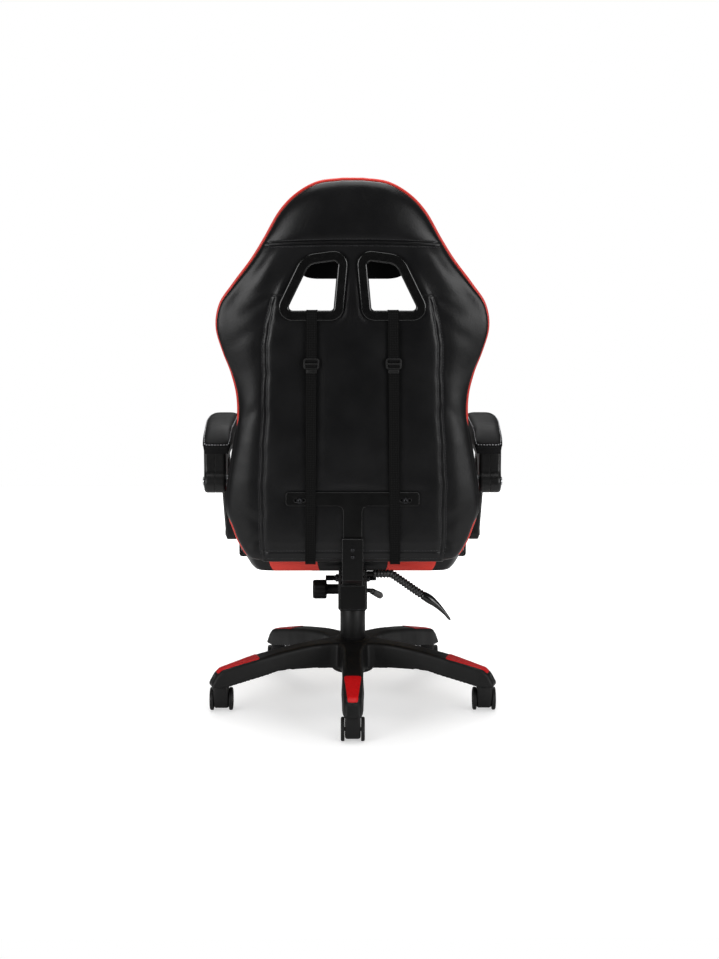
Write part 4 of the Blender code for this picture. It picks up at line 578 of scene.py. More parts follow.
black_leather = embossed_leather("black_embossed_leather", "#0a0a0b", "#0f0f10")
pad_leather = embossed_leather("matt_embossed_leather", "#0a0a0b", "#101011", (0.48, 0.60), 0.13)
red_leather = embossed_leather("red_embossed_leather", "#c8342b", "#d24037")
# The paler second colour of each nylon and of the powder coat is a painted highlight on its edges
nylon = moulded_nylon("black_moulded_nylon", "#0c0c0c", "#2a2a2a")
wheel_nylon = moulded_nylon("caster_moulded_nylon", "#0e0e0e", "#262626")
arm_nylon = moulded_nylon("armrest_moulded_nylon", "#0f0f0f", "#262626", (0.34, 0.44), 0.34)
gloss = glossy_abs("black_glossy_abs", "#070707", "#0c0c0c")
red_abs = brushed_red_abs("red_brushed_abs", "#cc1418", "#ac0f11")
paint = powder_coat("black_powder_coated_steel", "#080808", "#5e5e5e")
steel = turned_steel("zinc_plated_steel", "#c3c4c6", "#9c9ea1")
black_bolt = turned_steel("blackened_steel", "#4a4a4c", "#232325")
rubber = soft_pvc("black_soft_pvc", "#0b0b0b", "#191919")
webbing = woven_webbing("black_woven_webbing", "#060606", "#121212")
thread = spun_thread("dark_polyester_thread", "#1c1c1e", "#343437")
pale_thread = spun_thread("grey_polyester_thread", "#7a7a7d", "#a4a4a7")
plywood = birch_plywood("birch_plywood", "#c9a878", "#a17c4b")


# Padded work

def crown(distance, reach):
    """Rise of a stuffed edge: nothing at the seam, full at the reach from it."""
    t = np.minimum(1.0, distance / reach)
    return np.sqrt(np.maximum(0.0, 1.0 - (1.0 - t) ** 2))


def from_segment(x, along, a, b):
    """Distance of grid points from a segment, and the share along it of the nearest place."""
    run = np.subtract(b, a)
    t = np.clip(((x - a[0]) * run[0] + (along - a[1]) * run[1]) / (run @ run), 0.0, 1.0)
    return np.hypot(x - a[0] - run[0] * t, along - a[1] - run[1] * t), t


def to_outline(x, along, outline):
    """Distance of grid points from the nearest side of a mirrored outline."""
    best = np.full(x.shape, 1.0)
    for a, b in zip(outline, outline[1:]):
        best = np.minimum(best, from_segment(np.abs(x), along, a, b)[0])
    return best


def to_edge(x, along, outline):
    """The same with the outline's two flat ends counted."""
    ends = np.minimum(np.abs(along - outline[0, 1]), np.abs(along - outline[-1, 1]))
    return np.minimum(ends, to_outline(x, along, outline))


def to_box(x, s, left, right, low, high):
    """Distance of grid points from a rectangle; nothing inside it."""
    dx = np.maximum(np.maximum(left - x, x - right), 0.0)
    ds = np.maximum(np.maximum(low - s, s - high), 0.0)
    return np.hypot(dx, ds)


def to_convex(x, s, corners):
    """Signed distance of grid points from a convex counter-clockwise polygon."""
    far = np.full(x.shape, -1.0)
    for a, b in zip(corners, [*corners[1:], corners[0]]):
        run = np.array(b) - np.array(a)
        out = np.array([run[1], -run[0]]) / np.hypot(*run)
        far = np.maximum(far, (x - a[0]) * out[0] + (s - a[1]) * out[1])
    return far


def groove(offset, half_width):
    """Bell-shaped line: one on it, nothing beside it."""
    return np.exp(-(offset / half_width) ** 2)


def rows_with_seams(even, seams, offsets, clear):
    """Row places: even ones, and close ones over each seam in place of the even ones near it."""
    near = np.array([seam + offset for seam in seams for offset in offsets])
    kept = [row for row in even if np.min(np.abs(near - row)) > clear]
    return np.unique(np.concatenate([near, kept]))


def evenly(curve, count):
    """A curve's points spread evenly along its length."""
    steps = np.concatenate([[0.0], np.cumsum(np.linalg.norm(np.diff(curve, axis=0), axis=1))])
    places = np.linspace(0.0, steps[-1], count)
    return np.stack([np.interp(places, steps, curve[:, k]) for k in range(curve.shape[1])], axis=1)


def grid(*axes):
    """Grid of points from an array or a number for each axis."""
    return np.stack(np.broadcast_arrays(*axes), axis=2)


def mirrored(right):
    """Places across a row, from those on one side of the middle."""
    return np.concatenate([-right[:0:-1], right])


def nearest(rows, place):
    return int(np.argmin(np.abs(rows - place)))


def grid_normals(face, axis, sign):
    """Unit normals of a grid of points, on the side that points this way along an axis at its middle."""
    normal = np.cross(np.gradient(face, axis=1), np.gradient(face, axis=0))
    normal = normal / np.maximum(np.linalg.norm(normal, axis=2, keepdims=True), 1e-12)
    rows, cols = face.shape[:2]
    return normal if sign * normal[rows // 2, cols // 2, axis] > 0 else -normal


def edge_loop(rows, cols):
    index = np.arange(rows * cols).reshape(rows, cols)
    return np.concatenate([index[0, :-1], index[:-1, -1], index[-1, :0:-1], index[:0:-1, 0]])


def rims(face, base):
    """Points round the edge of a padded face, and of the flat base under it."""
    edge = edge_loop(*face.shape[:2])
    return face.reshape(-1, 3)[edge], base.reshape(-1, 3)[edge]


def pad_shape(face, loops):
    """A padded face, closed by loops of points round its edge, the last one capped flat."""
    rows, cols = face.shape[:2]
    index = np.arange(rows * cols).reshape(rows, cols)
    quads = np.stack([index[:-1, :-1], index[:-1, 1:], index[1:, 1:], index[1:, :-1]], axis=2).reshape(-1, 4)
    faces = [tuple(quad) for quad in quads.tolist()]
    points = [tuple(p) for p in face.reshape(-1, 3).tolist()]
    rim = edge_loop(rows, cols).tolist()
    for loop in loops:
        start = len(points)
        points.extend(tuple(p) for p in np.asarray(loop).tolist())
        ring = list(range(start, len(points)))
        for k in range(len(ring)):
            n = (k + 1) % len(ring)
            faces.append((rim[k], rim[n], ring[n], ring[k]))
        rim = ring
    faces.append(tuple(rim))
    return points, faces


def spline(known, values, wanted):
    """Natural cubic spline through values at known places, along the first axis."""
    count = len(known)
    step = np.diff(known)
    lift = np.diff(values, axis=0) / step.reshape(-1, 1)
    system = np.eye(count)
    right = np.zeros(values.shape)
    for i in range(1, count - 1):
        system[i, i - 1:i + 2] = step[i - 1], 2 * (step[i - 1] + step[i]), step[i]
        right[i] = 3 * (lift[i] - lift[i - 1])
    bend = np.linalg.solve(system, right)
    k = np.clip(np.searchsorted(known, wanted) - 1, 0, count - 2)
    t = (wanted - known[k]).reshape(-1, 1)
    h = step[k].reshape(-1, 1)
    slope = lift[k] - h * (2 * bend[k] + bend[k + 1]) / 3
    return values[k] + slope * t + bend[k] * t ** 2 + (bend[k + 1] - bend[k]) / (3 * h) * t ** 3


CLOTH_FRAMES = 20


def puffed(face, base, held, cap, loose=1.0, every=(4, 3), keep_rows=(), keep_cols=(), pressure=4.0):
    """The padded face after a cloth simulation with air inside: held points stay, and no point moves further
    than the cap. It runs on a coarser grid, and a spline carries its swelling to the fine one, where it is
    scaled by how loose each place is."""
    rows, cols = face.shape[:2]
    at_rows = np.unique([*range(0, rows, every[0]), *keep_rows, rows - 1])
    at_cols = np.unique([*range(0, cols, every[1]), *keep_cols, cols - 1])
    coarse = face[np.ix_(at_rows, at_cols)]
    fixed = held[np.ix_(at_rows, at_cols)]
    flat = base.reshape(rows, cols, 3)[np.ix_(at_rows, at_cols)]
    loop = flat.reshape(-1, 3)[edge_loop(len(at_rows), len(at_cols))]
    trial = new_object("trial", new_mesh("trial", pad_shape(coarse, [loop])))
    count = fixed.size
    group = trial.vertex_groups.new(name="held")
    group.add([int(i) for i in np.flatnonzero(fixed)], 1.0, "REPLACE")
    group.add(list(range(count, count + len(loop))), 1.0, "REPLACE")
    cloth = trial.modifiers.new("cloth", "CLOTH")
    cloth.settings.quality = 4
    cloth.settings.mass = 0.2
    cloth.settings.use_pressure = True
    cloth.settings.uniform_pressure_force = pressure
    cloth.settings.effector_weights.gravity = 0.0
    cloth.settings.vertex_group_mass = "held"
    cloth.collision_settings.use_collision = False
    for number in range(1, CLOTH_FRAMES + 1):
        bpy.context.scene.frame_set(number)
    swollen = trial.evaluated_get(bpy.context.evaluated_depsgraph_get()).data
    after = np.empty(3 * len(swollen.vertices))
    swollen.vertices.foreach_get("co", after)
    shift = after.reshape(-1, 3)[:count] - coarse.reshape(-1, 3)
    length = np.linalg.norm(shift, axis=1, keepdims=True)
    shift *= cap * np.tanh(length / cap) / np.maximum(length, 1e-9)
    bpy.data.objects.remove(trial)
    bpy.context.scene.frame_set(1)
    shift = shift.reshape(len(at_rows), len(at_cols) * 3)
    by_row = spline(at_rows, shift, np.arange(rows)).reshape(rows, len(at_cols), 3)
    by_col = spline(at_cols, by_row.transpose(1, 0, 2).reshape(len(at_cols), -1), np.arange(cols))
    swelling = by_col.reshape(cols, rows, 3).transpose(1, 0, 2)
    return face + swelling * np.broadcast_to(loose, (rows, cols))[:, :, None]


STITCH_PITCH = 0.0060
STITCH_LENGTH = 0.0044
STITCH_RADIUS = 0.0006
STITCH_SIDES = 6
STITCH_START = 0.13
STITCH_PLACES = np.array([0.0, 0.2, 0.5, 0.8, 1.0])
STITCH_SWELL = (0.35, 0.8, 1.0, 0.8, 0.35)
STITCH_LIFT = (-0.6, 0.2, 0.5, 0.2, -0.6)


def stitches(lines, radius=STITCH_RADIUS):
    """Threads that dive in and out along lines of (points, normals) on a surface."""
    threads = []
    section = circle(1.0, STITCH_SIDES)
    for path, normal in lines:
        steps = np.concatenate([[0.0], np.cumsum(np.linalg.norm(np.diff(path, axis=0), axis=1))])
        for k in range(int(steps[-1] / STITCH_PITCH)):
            places = (k + STITCH_START) * STITCH_PITCH + STITCH_LENGTH * STITCH_PLACES
            spots, ups = (np.stack([np.interp(places, steps, values[:, a]) for a in range(3)], axis=1)
                          for values in (path, normal))
            run = Vector(spots[-1] - spots[0]).normalized()
            rings = []
            for spot, up, swell, lift in zip(spots, ups, STITCH_SWELL, STITCH_LIFT):
                above = Vector(up).normalized()
                beside = run.cross(above).normalized()
                heart = Vector(spot) + above * (lift * radius)
                rings.append([heart + (beside * a + above * b) * (swell * radius) for a, b in section])
            threads.append(loft(rings))
    return join(*threads)


def sewn(face, normal, places):
    """Stitches along these rows and columns of a grid."""
    return stitches([(face[place], normal[place]) for place in places])


PIPING_RADIUS = 0.0037
PIPING_ROOM = 0.0036
PIPING_LAP = -0.0024
PIPING_BOTTOM = 0.0500
# Where the piping is drawn in between the panels, by start, full, fade and end, and how far
PIPING_HIP = (0.125, 0.165, 0.300, 0.360)
PIPING_HIP_DEPTH = 0.0042
PIPING_SHOULDER = (0.420, 0.470, 0.560, 0.640)
PIPING_SHOULDER_DEPTH = 0.0012


def outward(curve):
    """Unit normals of a half outline, away from the middle of the back."""
    run = np.gradient(curve, axis=0)
    return np.stack([run[:, 1], -run[:, 0]], axis=1) / np.linalg.norm(run, axis=1, keepdims=True)


back_edge = smooth_curve(BACK_OUTLINE, 10)
BACK_BOTTOM = BACK_OUTLINE[0][1]
inset_curve = back_edge - outward(back_edge) * PIPING_ROOM
inset_curve[0, 1] = BACK_BOTTOM
back_curve = inset_curve[np.concatenate([[True], np.diff(np.maximum.accumulate(inset_curve[:, 1])) > 0])]
BACK_TOP = back_curve[-1, 1]


def back_half(s):
    """Half width of the backrest at a height."""
    return looked_up(back_curve[:, ::-1], s)


def strap_x(s):
    """Middle of a strap at a height: it runs a little inward as it rises to the cut-out's sill."""
    return STRAP_LOW_X + (STRAP_HIGH_X - STRAP_LOW_X) * (s - BACK_BOTTOM) / (SILL - BACK_BOTTOM)


def hole_corners(side):
    """A cut-out's corners on its side of the back, counter-clockwise."""
    corners = [(side * x, s) for x, s in BEZEL_HOLE]
    return corners[::side]


def hole_ring(side, grow, steps=7):
    """A cut-out's outline, grown all round."""
    radii = [radius + grow for radius in BEZEL_HOLE_RADII[::side]]
    return rounded(grown(hole_corners(side), grow), radii, steps)


def flare(v):
    """How much wider than at its rear a cut-out is: it opens towards the front, so its sill slopes down."""
    return BEZEL_FLARE * (BACK_REAR - v) / (BACK_REAR - BACK_FRONT)


def hole_cutter(side, front, rear):
    """What a cut-out takes away, from one depth in the back to another."""
    return loft([[(x, v, s) for x, s in hole_ring(side, BEZEL_WALL + GAP + flare(v))] for v in (front, rear)])


def bezel_clearance(x, s):
    """Distance of grid points from the nearer cut-out's hole, negative inside it."""
    corners = hole_corners(1)
    inside = to_convex(np.abs(x), s, corners)
    return np.where(inside > 0, to_outline(x, s, np.array([*corners, corners[0]])), inside)


# Rear half of the upholstery: a flat middle panel between zip seams, two side panels and a head panel
# Sizes: height of the side wall, width of the stuffed edge, bulges and depths, then the seams' places
COVER_SIDE = 0.0125
COVER_EDGE = 0.056
SIDE_BULGE = 0.0030
HIP_BULGE = 0.0048
VALLEY_DEPTH = 0.0034
RIM_SHOWN = 0.0205
COVER_START = 0.0012
HEAD_SEAM = 0.6976
HEAD_SEAM_RISE = 0.0048
HEM_SEAMS = (0.0547, 0.0728)
ZIP_SEAM = ((0.045, 0.1790), (0.0824, 0.1840), (0.2257, 0.1840), (0.370, 0.1762), (0.515, 0.1720),
            (0.598, 0.1534))
ZIP_TOP = 0.598
ZIP_OFFSETS = np.array([-12.0, -7.5, -5.6, -4.2, -3.0, -1.8, 0.0, 1.8, 3.0, 4.2, 5.6, 7.5, 12.0]) / 1000
ZIP_LINE = 0.0042
HEAD_LINE = 0.0032
SEAM_DEPTH = 0.0018
SEAM_HALF_WIDTH = 0.0015
ZIP_HALF_WIDTH = 0.0024
HEAD_HALF_WIDTH = 0.0019
HEM_HALF_WIDTH = 0.0016
HEM_DEPTH = 0.0010
# Lengths of the two waves in a zip's puckered edge, and of the two in which it wanders
PUCKER_WAVES = (0.0135, 0.031)
WANDER_WAVES = (0.093, 0.041)
# Depth and half width of the hollow along the head seam, and of the swelling round a cut-out's rim
HEAD_VALLEY = (0.0026, 0.014)
RIM_SWELLING = (0.0016, 0.0065)
RIM_SWELLING_PLACE = 0.009
ROW_OFFSETS = np.array([-9.0, -6.5, -4.8, -3.2, -1.6, 0.0, 1.6, 3.2, 4.8, 6.5, 9.0]) / 1000
# Heights over which each of these comes and goes: start, full, fade and end
SIDE_PANELS = (0.06, 0.12, 0.58, 0.66)
COVER_HIP = (0.110, 0.160, 0.300, 0.360)
ZIP_SHOWN = (0.058, 0.066, ZIP_TOP - 0.010, ZIP_TOP)
ZIP_VALLEY = (0.058, 0.080, ZIP_TOP - 0.030, ZIP_TOP)
# The same across the back, for the turned-in corner at the top of a zip
TURNED_IN = (0.1320, 0.1380, 0.1560, 0.1590)
# Close rows by the hems, how far the cover may swell and stand proud of what presses on it, and its grid
HEM_OFFSETS = np.array([-5.0, -3.0, -1.5, 0.0, 1.5, 3.0, 5.0]) / 1000
COVER_SWELL = 0.0075
COVER_PROUD = 0.0065
COVER_ROWS = 215
COVER_INNER_COLUMNS = 35
COVER_OUTER_COLUMNS = 14
ZIP_COLUMN = COVER_INNER_COLUMNS + len(ZIP_OFFSETS) // 2
COVER_MIDDLE = COVER_INNER_COLUMNS + len(ZIP_OFFSETS) + COVER_OUTER_COLUMNS - 1
zip_curve = smooth_curve(ZIP_SEAM, 8)


def zip_x(s):
    """Middle of a zip seam; above its top it fades into a plain column of the grid."""
    share = np.interp(s, [ZIP_TOP, BACK_TOP], [ZIP_SEAM[-1][1] / back_half(ZIP_TOP), 0.62])
    long, short = (np.sin(2 * pi * s / length) for length in WANDER_WAVES)
    wander = 0.0008 * long + 0.0004 * short
    return np.where(s < ZIP_TOP, looked_up(zip_curve, s) + wander, share * back_half(s))


def cover_columns(s):
    """Places across one row of the cover, with close columns over the zip seams."""
    half = float(back_half(s))
    seam = float(zip_x(s))
    squeeze = min(1.0, (half - seam) / 0.030, seam / 0.030)
    near = seam + squeeze * ZIP_OFFSETS
    inner = np.linspace(0.0, near[0], COVER_INNER_COLUMNS + 1)[:-1]
    outer = near[-1] + (half - near[-1]) * np.sin(np.linspace(0.0, pi / 2, COVER_OUTER_COLUMNS + 1)[1:])
    return mirrored(np.concatenate([inner, near, outer]))


# Soft pulls in the leather at the shoulders and by the cut-outs: ends (x, s), height and half width
PULLS = (
    ((0.160, 0.690), (0.228, 0.612), -0.0021, 0.0085),
    ((0.148, 0.688), (0.190, 0.612), 0.0016, 0.0105),
    ((0.178, 0.655), (0.250, 0.565), -0.0013, 0.0100),
    ((0.150, 0.602), (0.214, 0.560), -0.0016, 0.0080),
    ((0.165, 0.560), (0.235, 0.500), -0.0010, 0.0110),
    ((0.190, 0.380), (0.226, 0.330), -0.0010, 0.0090),
    ((0.190, 0.130), (0.238, 0.170), -0.0011, 0.0100),
    ((0.192, 0.100), (0.222, 0.082), -0.0010, 0.0070),
    ((0.022, 0.560), (0.020, 0.672), -0.0009, 0.0100),
    ((0.060, 0.545), (0.112, 0.543), -0.0010, 0.0070),
)


def pulls(x, s):
    """Height of the pulls, a little weaker on the sitter's right."""
    total = np.zeros(x.shape)
    for start, end, height, width in PULLS:
        far, t = from_segment(np.abs(x), s, start, end)
        total += height * np.where(x > 0, 1.0, 0.75) * np.sin(pi * (0.12 + 0.76 * t)) * groove(far, width)
    return total


def pressed(x, s):
    """How far a place on the rear is from the bar, bracket, straps and bezel rims that press on it."""
    near = to_box(np.abs(x), s, 0.0, BAR_HALF_LENGTH, BAR_LOW, BAR_HIGH)
    near = np.minimum(near, to_box(np.abs(x), s, 0.0, BRACKET_HALF_WIDTH, 0.0, BAR_LOW))
    strap = np.abs(np.abs(x) - strap_x(s)) - STRAP_WIDTH / 2
    near = np.minimum(near, np.where(s < SILL, np.maximum(strap, 0.0), 1.0))
    return np.minimum(near, np.maximum(bezel_clearance(x, s) - RIM_SHOWN, 0.0))


def cover_relief(x, s, zip_offset, seam_offset):
    """Relief on the rear: puckered zip edges, the head seam, hems, hollows beside them and pulls."""
    short, long = (2 * pi * s / length for length in PUCKER_WAVES)
    pucker = 0.55 + 0.30 * np.sin(short) + 0.22 * np.sin(long + np.sign(x))
    zips = groove(np.abs(zip_offset) - ZIP_LINE, SEAM_HALF_WIDTH)
    zips = zips - pucker * groove(zip_offset, ZIP_HALF_WIDTH)
    head = groove(np.abs(seam_offset) - HEAD_LINE, SEAM_HALF_WIDTH)
    head = head - 0.55 * groove(seam_offset, HEAD_HALF_WIDTH)
    turn_in = groove(s - ZIP_TOP, HEM_HALF_WIDTH) * band(np.abs(x), *TURNED_IN)
    hems = sum(groove(s - hem, HEM_HALF_WIDTH) for hem in HEM_SEAMS) * (np.abs(x) < zip_x(s))
    valley = groove(zip_offset, np.where(zip_offset > 0, 0.019, 0.0065))
    dip = VALLEY_DEPTH * valley * band(s, *ZIP_VALLEY)
    depth, width = HEAD_VALLEY
    dip += depth * groove(seam_offset, width)
    height, width = RIM_SWELLING
    from_rim = bezel_clearance(x, s) - RIM_SHOWN
    dip -= height * groove(from_rim - RIM_SWELLING_PLACE, width) * (1 - ease(0.60, 0.66, s))
    relief = pulls(x, s) - SEAM_DEPTH * (0.62 * zips * band(s, *ZIP_SHOWN) + head + 0.8 * turn_in)
    return relief - (HEM_DEPTH * hems + dip)


def make_back_cover():
    """Rear upholstery: panels that swell between the seams, and give way to the parts that press on them."""
    even = evenly(back_curve, COVER_ROWS)[:, 1]
    rows = rows_with_seams(even, [HEAD_SEAM], ROW_OFFSETS, 0.0024)
    rows = rows_with_seams(rows, (*HEM_SEAMS, ZIP_TOP), HEM_OFFSETS, 0.0014)
    rows = rows[(rows >= BACK_BOTTOM) & (rows <= BACK_TOP)]
    x = np.array([cover_columns(s) for s in rows])
    s = np.repeat(rows[:, None], x.shape[1], axis=1)
    seam_offset = s - HEAD_SEAM
    s = s + HEAD_SEAM_RISE * (1 - (x / back_half(s)) ** 2) * groove(seam_offset, 0.035)
    far = to_edge(x, s, back_curve)
    reach = COVER_EDGE * (0.55 + 0.45 * ease(BACK_BOTTOM, 0.110, s))
    zip_offset = np.abs(x) - zip_x(s)
    width = np.maximum(back_half(s) - zip_x(s), 0.02)
    sloping = 0.14 * crown(far, 0.012) + 0.86 * (1 - (1 - np.clip(far / (0.97 * width), 0.0, 1.0)) ** 1.14)
    sides = band(s, *SIDE_PANELS)
    form = crown(far, reach) * (1 - sides) + sloping * sides
    rise = COVER_SIDE + (BACK_REAR - COVER_START - BACK_SPLIT - COVER_SIDE) * form
    bulge = SIDE_BULGE * np.sin(pi * np.clip(zip_offset / width, 0.0, 1.0))
    rise += bulge * sides * (1 - 0.8 * ease(0.36, 0.46, s))
    face = grid(x, BACK_SPLIT + rise, s)
    base = grid(x, BACK_SPLIT, s)

    near = pressed(x, s)
    on_zip = (s > 0.060) & (s < ZIP_TOP - 0.004)
    held = (near < 0.002) | (np.abs(seam_offset) < 0.0035) | ((np.abs(zip_offset) < 0.005) & on_zip)
    held |= far < 0.004
    columns = [COVER_MIDDLE + side * (ZIP_COLUMN + k) for side in (1, -1) for k in (-3, 0, 3)]
    head_row = nearest(rows, HEAD_SEAM)
    loose = ease(0.0, 0.040, far) * (1 - 0.70 * sides * ease(0.0, 0.015, zip_offset))
    face = puffed(face, base, held, COVER_SWELL, loose, keep_rows=[head_row - 2, head_row, head_row + 2],
                  keep_cols=columns)
    room = BACK_REAR - GAP + COVER_PROUD * ease(0.004, 0.045, near)
    face[:, :, 1] = np.minimum(face[:, :, 1], room)

    normal = grid_normals(face, 1, 1)
    relief = cover_relief(x, s, zip_offset, seam_offset) * ease(0.0, 0.012, far)
    face = face + normal * relief[:, :, None]

    rim, foot = rims(face, base)
    run = np.roll(foot, -1, axis=0) - np.roll(foot, 1, axis=0)
    out = np.stack([run[:, 2], 0 * run[:, 0], -run[:, 0]], axis=1)
    out /= np.maximum(np.linalg.norm(out, axis=1, keepdims=True), 1e-9)
    out *= np.where(np.sum(out[:, ::2] * (foot[:, ::2] - [0.0, 0.4]), axis=1, keepdims=True) < 0, -1.0, 1.0)
    hip = HIP_BULGE * band(foot[:, 2:], *COVER_HIP)
    loops = [rim + (foot - rim) * t + out * hip * sin(pi * t) for t in (0.2, 0.4, 0.6, 0.8, 1.0)]
    cover = piece("back_rear_upholstery", pad_shape(face, loops), "backrest", "black_leather", black_leather,
                  stands_for=("back_cover",))
    cut(cover, join(*(hole_cutter(side, 0.0, 0.09) for side in (1, -1))), 70)
    cover.data.transform(BACK)

    zip_rows = np.flatnonzero((rows > 0.066) & (rows < ZIP_TOP - 0.012))
    places = [(zip_rows, COVER_MIDDLE + side * (ZIP_COLUMN + k)) for side in (1, -1) for k in (-4, 4)]
    places += [np.s_[head_row + k, 4:-4] for k in (-4, 4)]
    for hem in HEM_SEAMS:
        row = nearest(rows, hem) + 2
        places.append((row, np.flatnonzero(np.abs(x[row]) < zip_x(rows[row]) - 0.006)))
    thread_shape = moved(sewn(face, normal, places), BACK)
    piece("back_rear_stitching", thread_shape, "backrest", "black_leather", thread)


def make_piping():
    """Red welt sewn between the two halves of the back, from one lower corner over the head to the other."""
    half = evenly(back_edge, 150)
    half = half[half[:, 1] > PIPING_BOTTOM]
    s = half[:, 1]
    drawn_in = PIPING_HIP_DEPTH * band(s, *PIPING_HIP) + PIPING_SHOULDER_DEPTH * band(s, *PIPING_SHOULDER)
    half = half + outward(half) * (PIPING_LAP - drawn_in)[:, None]
    path = [(x, BACK_SPLIT, s) for x, s in half] + [(-x, BACK_SPLIT, s) for x, s in half[::-1]]
    count = len(path)
    ring = circle(PIPING_RADIUS, 14)

    def section(i):
        shrink = min(1.0, 0.5 + 0.25 * min(i, count - 1 - i))
        return [(a * shrink, b * shrink) for a, b in ring]

    shape = moved(sweep(path, section), BACK)
    piece("back_red_piping", shape, "backrest", "seat_leather", red_leather)


# Front half of the back: quilted black middle, red bolster slopes and black wings
CUSHION_SIDE = 0.020
CUSHION_EDGE = 0.036
WING_RISE = 0.045
WING_WIDTH = 0.100
WING_CREST = 0.045
WING_SHOWN = (0.120, 0.240, 0.540, 0.630)
CHANNELS = (0.355, 0.410, 0.465, 0.520)
CHANNEL_DEPTH = 0.0035
WING_PLACES = np.array([
    0.0, 3.0, 7.0, 12.0, 18.0, 25.0, 32.0, 38.0, 41.0, 43.0, 45.0, 47.0, 49.0, 52.0, 58.0, 66.0, 74.0, 82.0,
    89.0, 94.0, 96.5, 98.5, 100.0, 101.5, 103.5, 106.0, 111.0]) / 1000
CREST_PLACE = 10
VALLEY_PLACE = 22
FRONT_MIDDLE_COLUMNS = 30
# Half width of the back below which the wings narrow with it
FULL_HALF = 0.19
CHANNEL_OFFSETS = np.array([-6.0, -3.0, -1.5, 0.0, 1.5, 3.0, 6.0]) / 1000
CUSHION_START = 0.0025
CUSHION_SWELL = 0.010
CUSHION_PROUD = 0.0100
CUSHION_ROWS = 190
WING_SEAM_DEPTH = 0.0026
WING_SEAM_BOTTOM = 0.075
HEAD_SEAM_DEPTH = 0.0022
# Where the pillows rest on it: half width, lower and upper end
PILLOW_RESTS = ((0.140, 0.125, 0.315), (0.120, 0.60, 0.77))


def front_columns(s):
    """Places across one row of the front, at set distances from its rim over the wings."""
    half = float(back_half(s))
    reach = half - WING_PLACES * min(1.0, half / FULL_HALF)
    middle = np.linspace(0.0, reach[-1], FRONT_MIDDLE_COLUMNS)[:-1]
    return mirrored(np.concatenate([middle, reach[::-1]]))


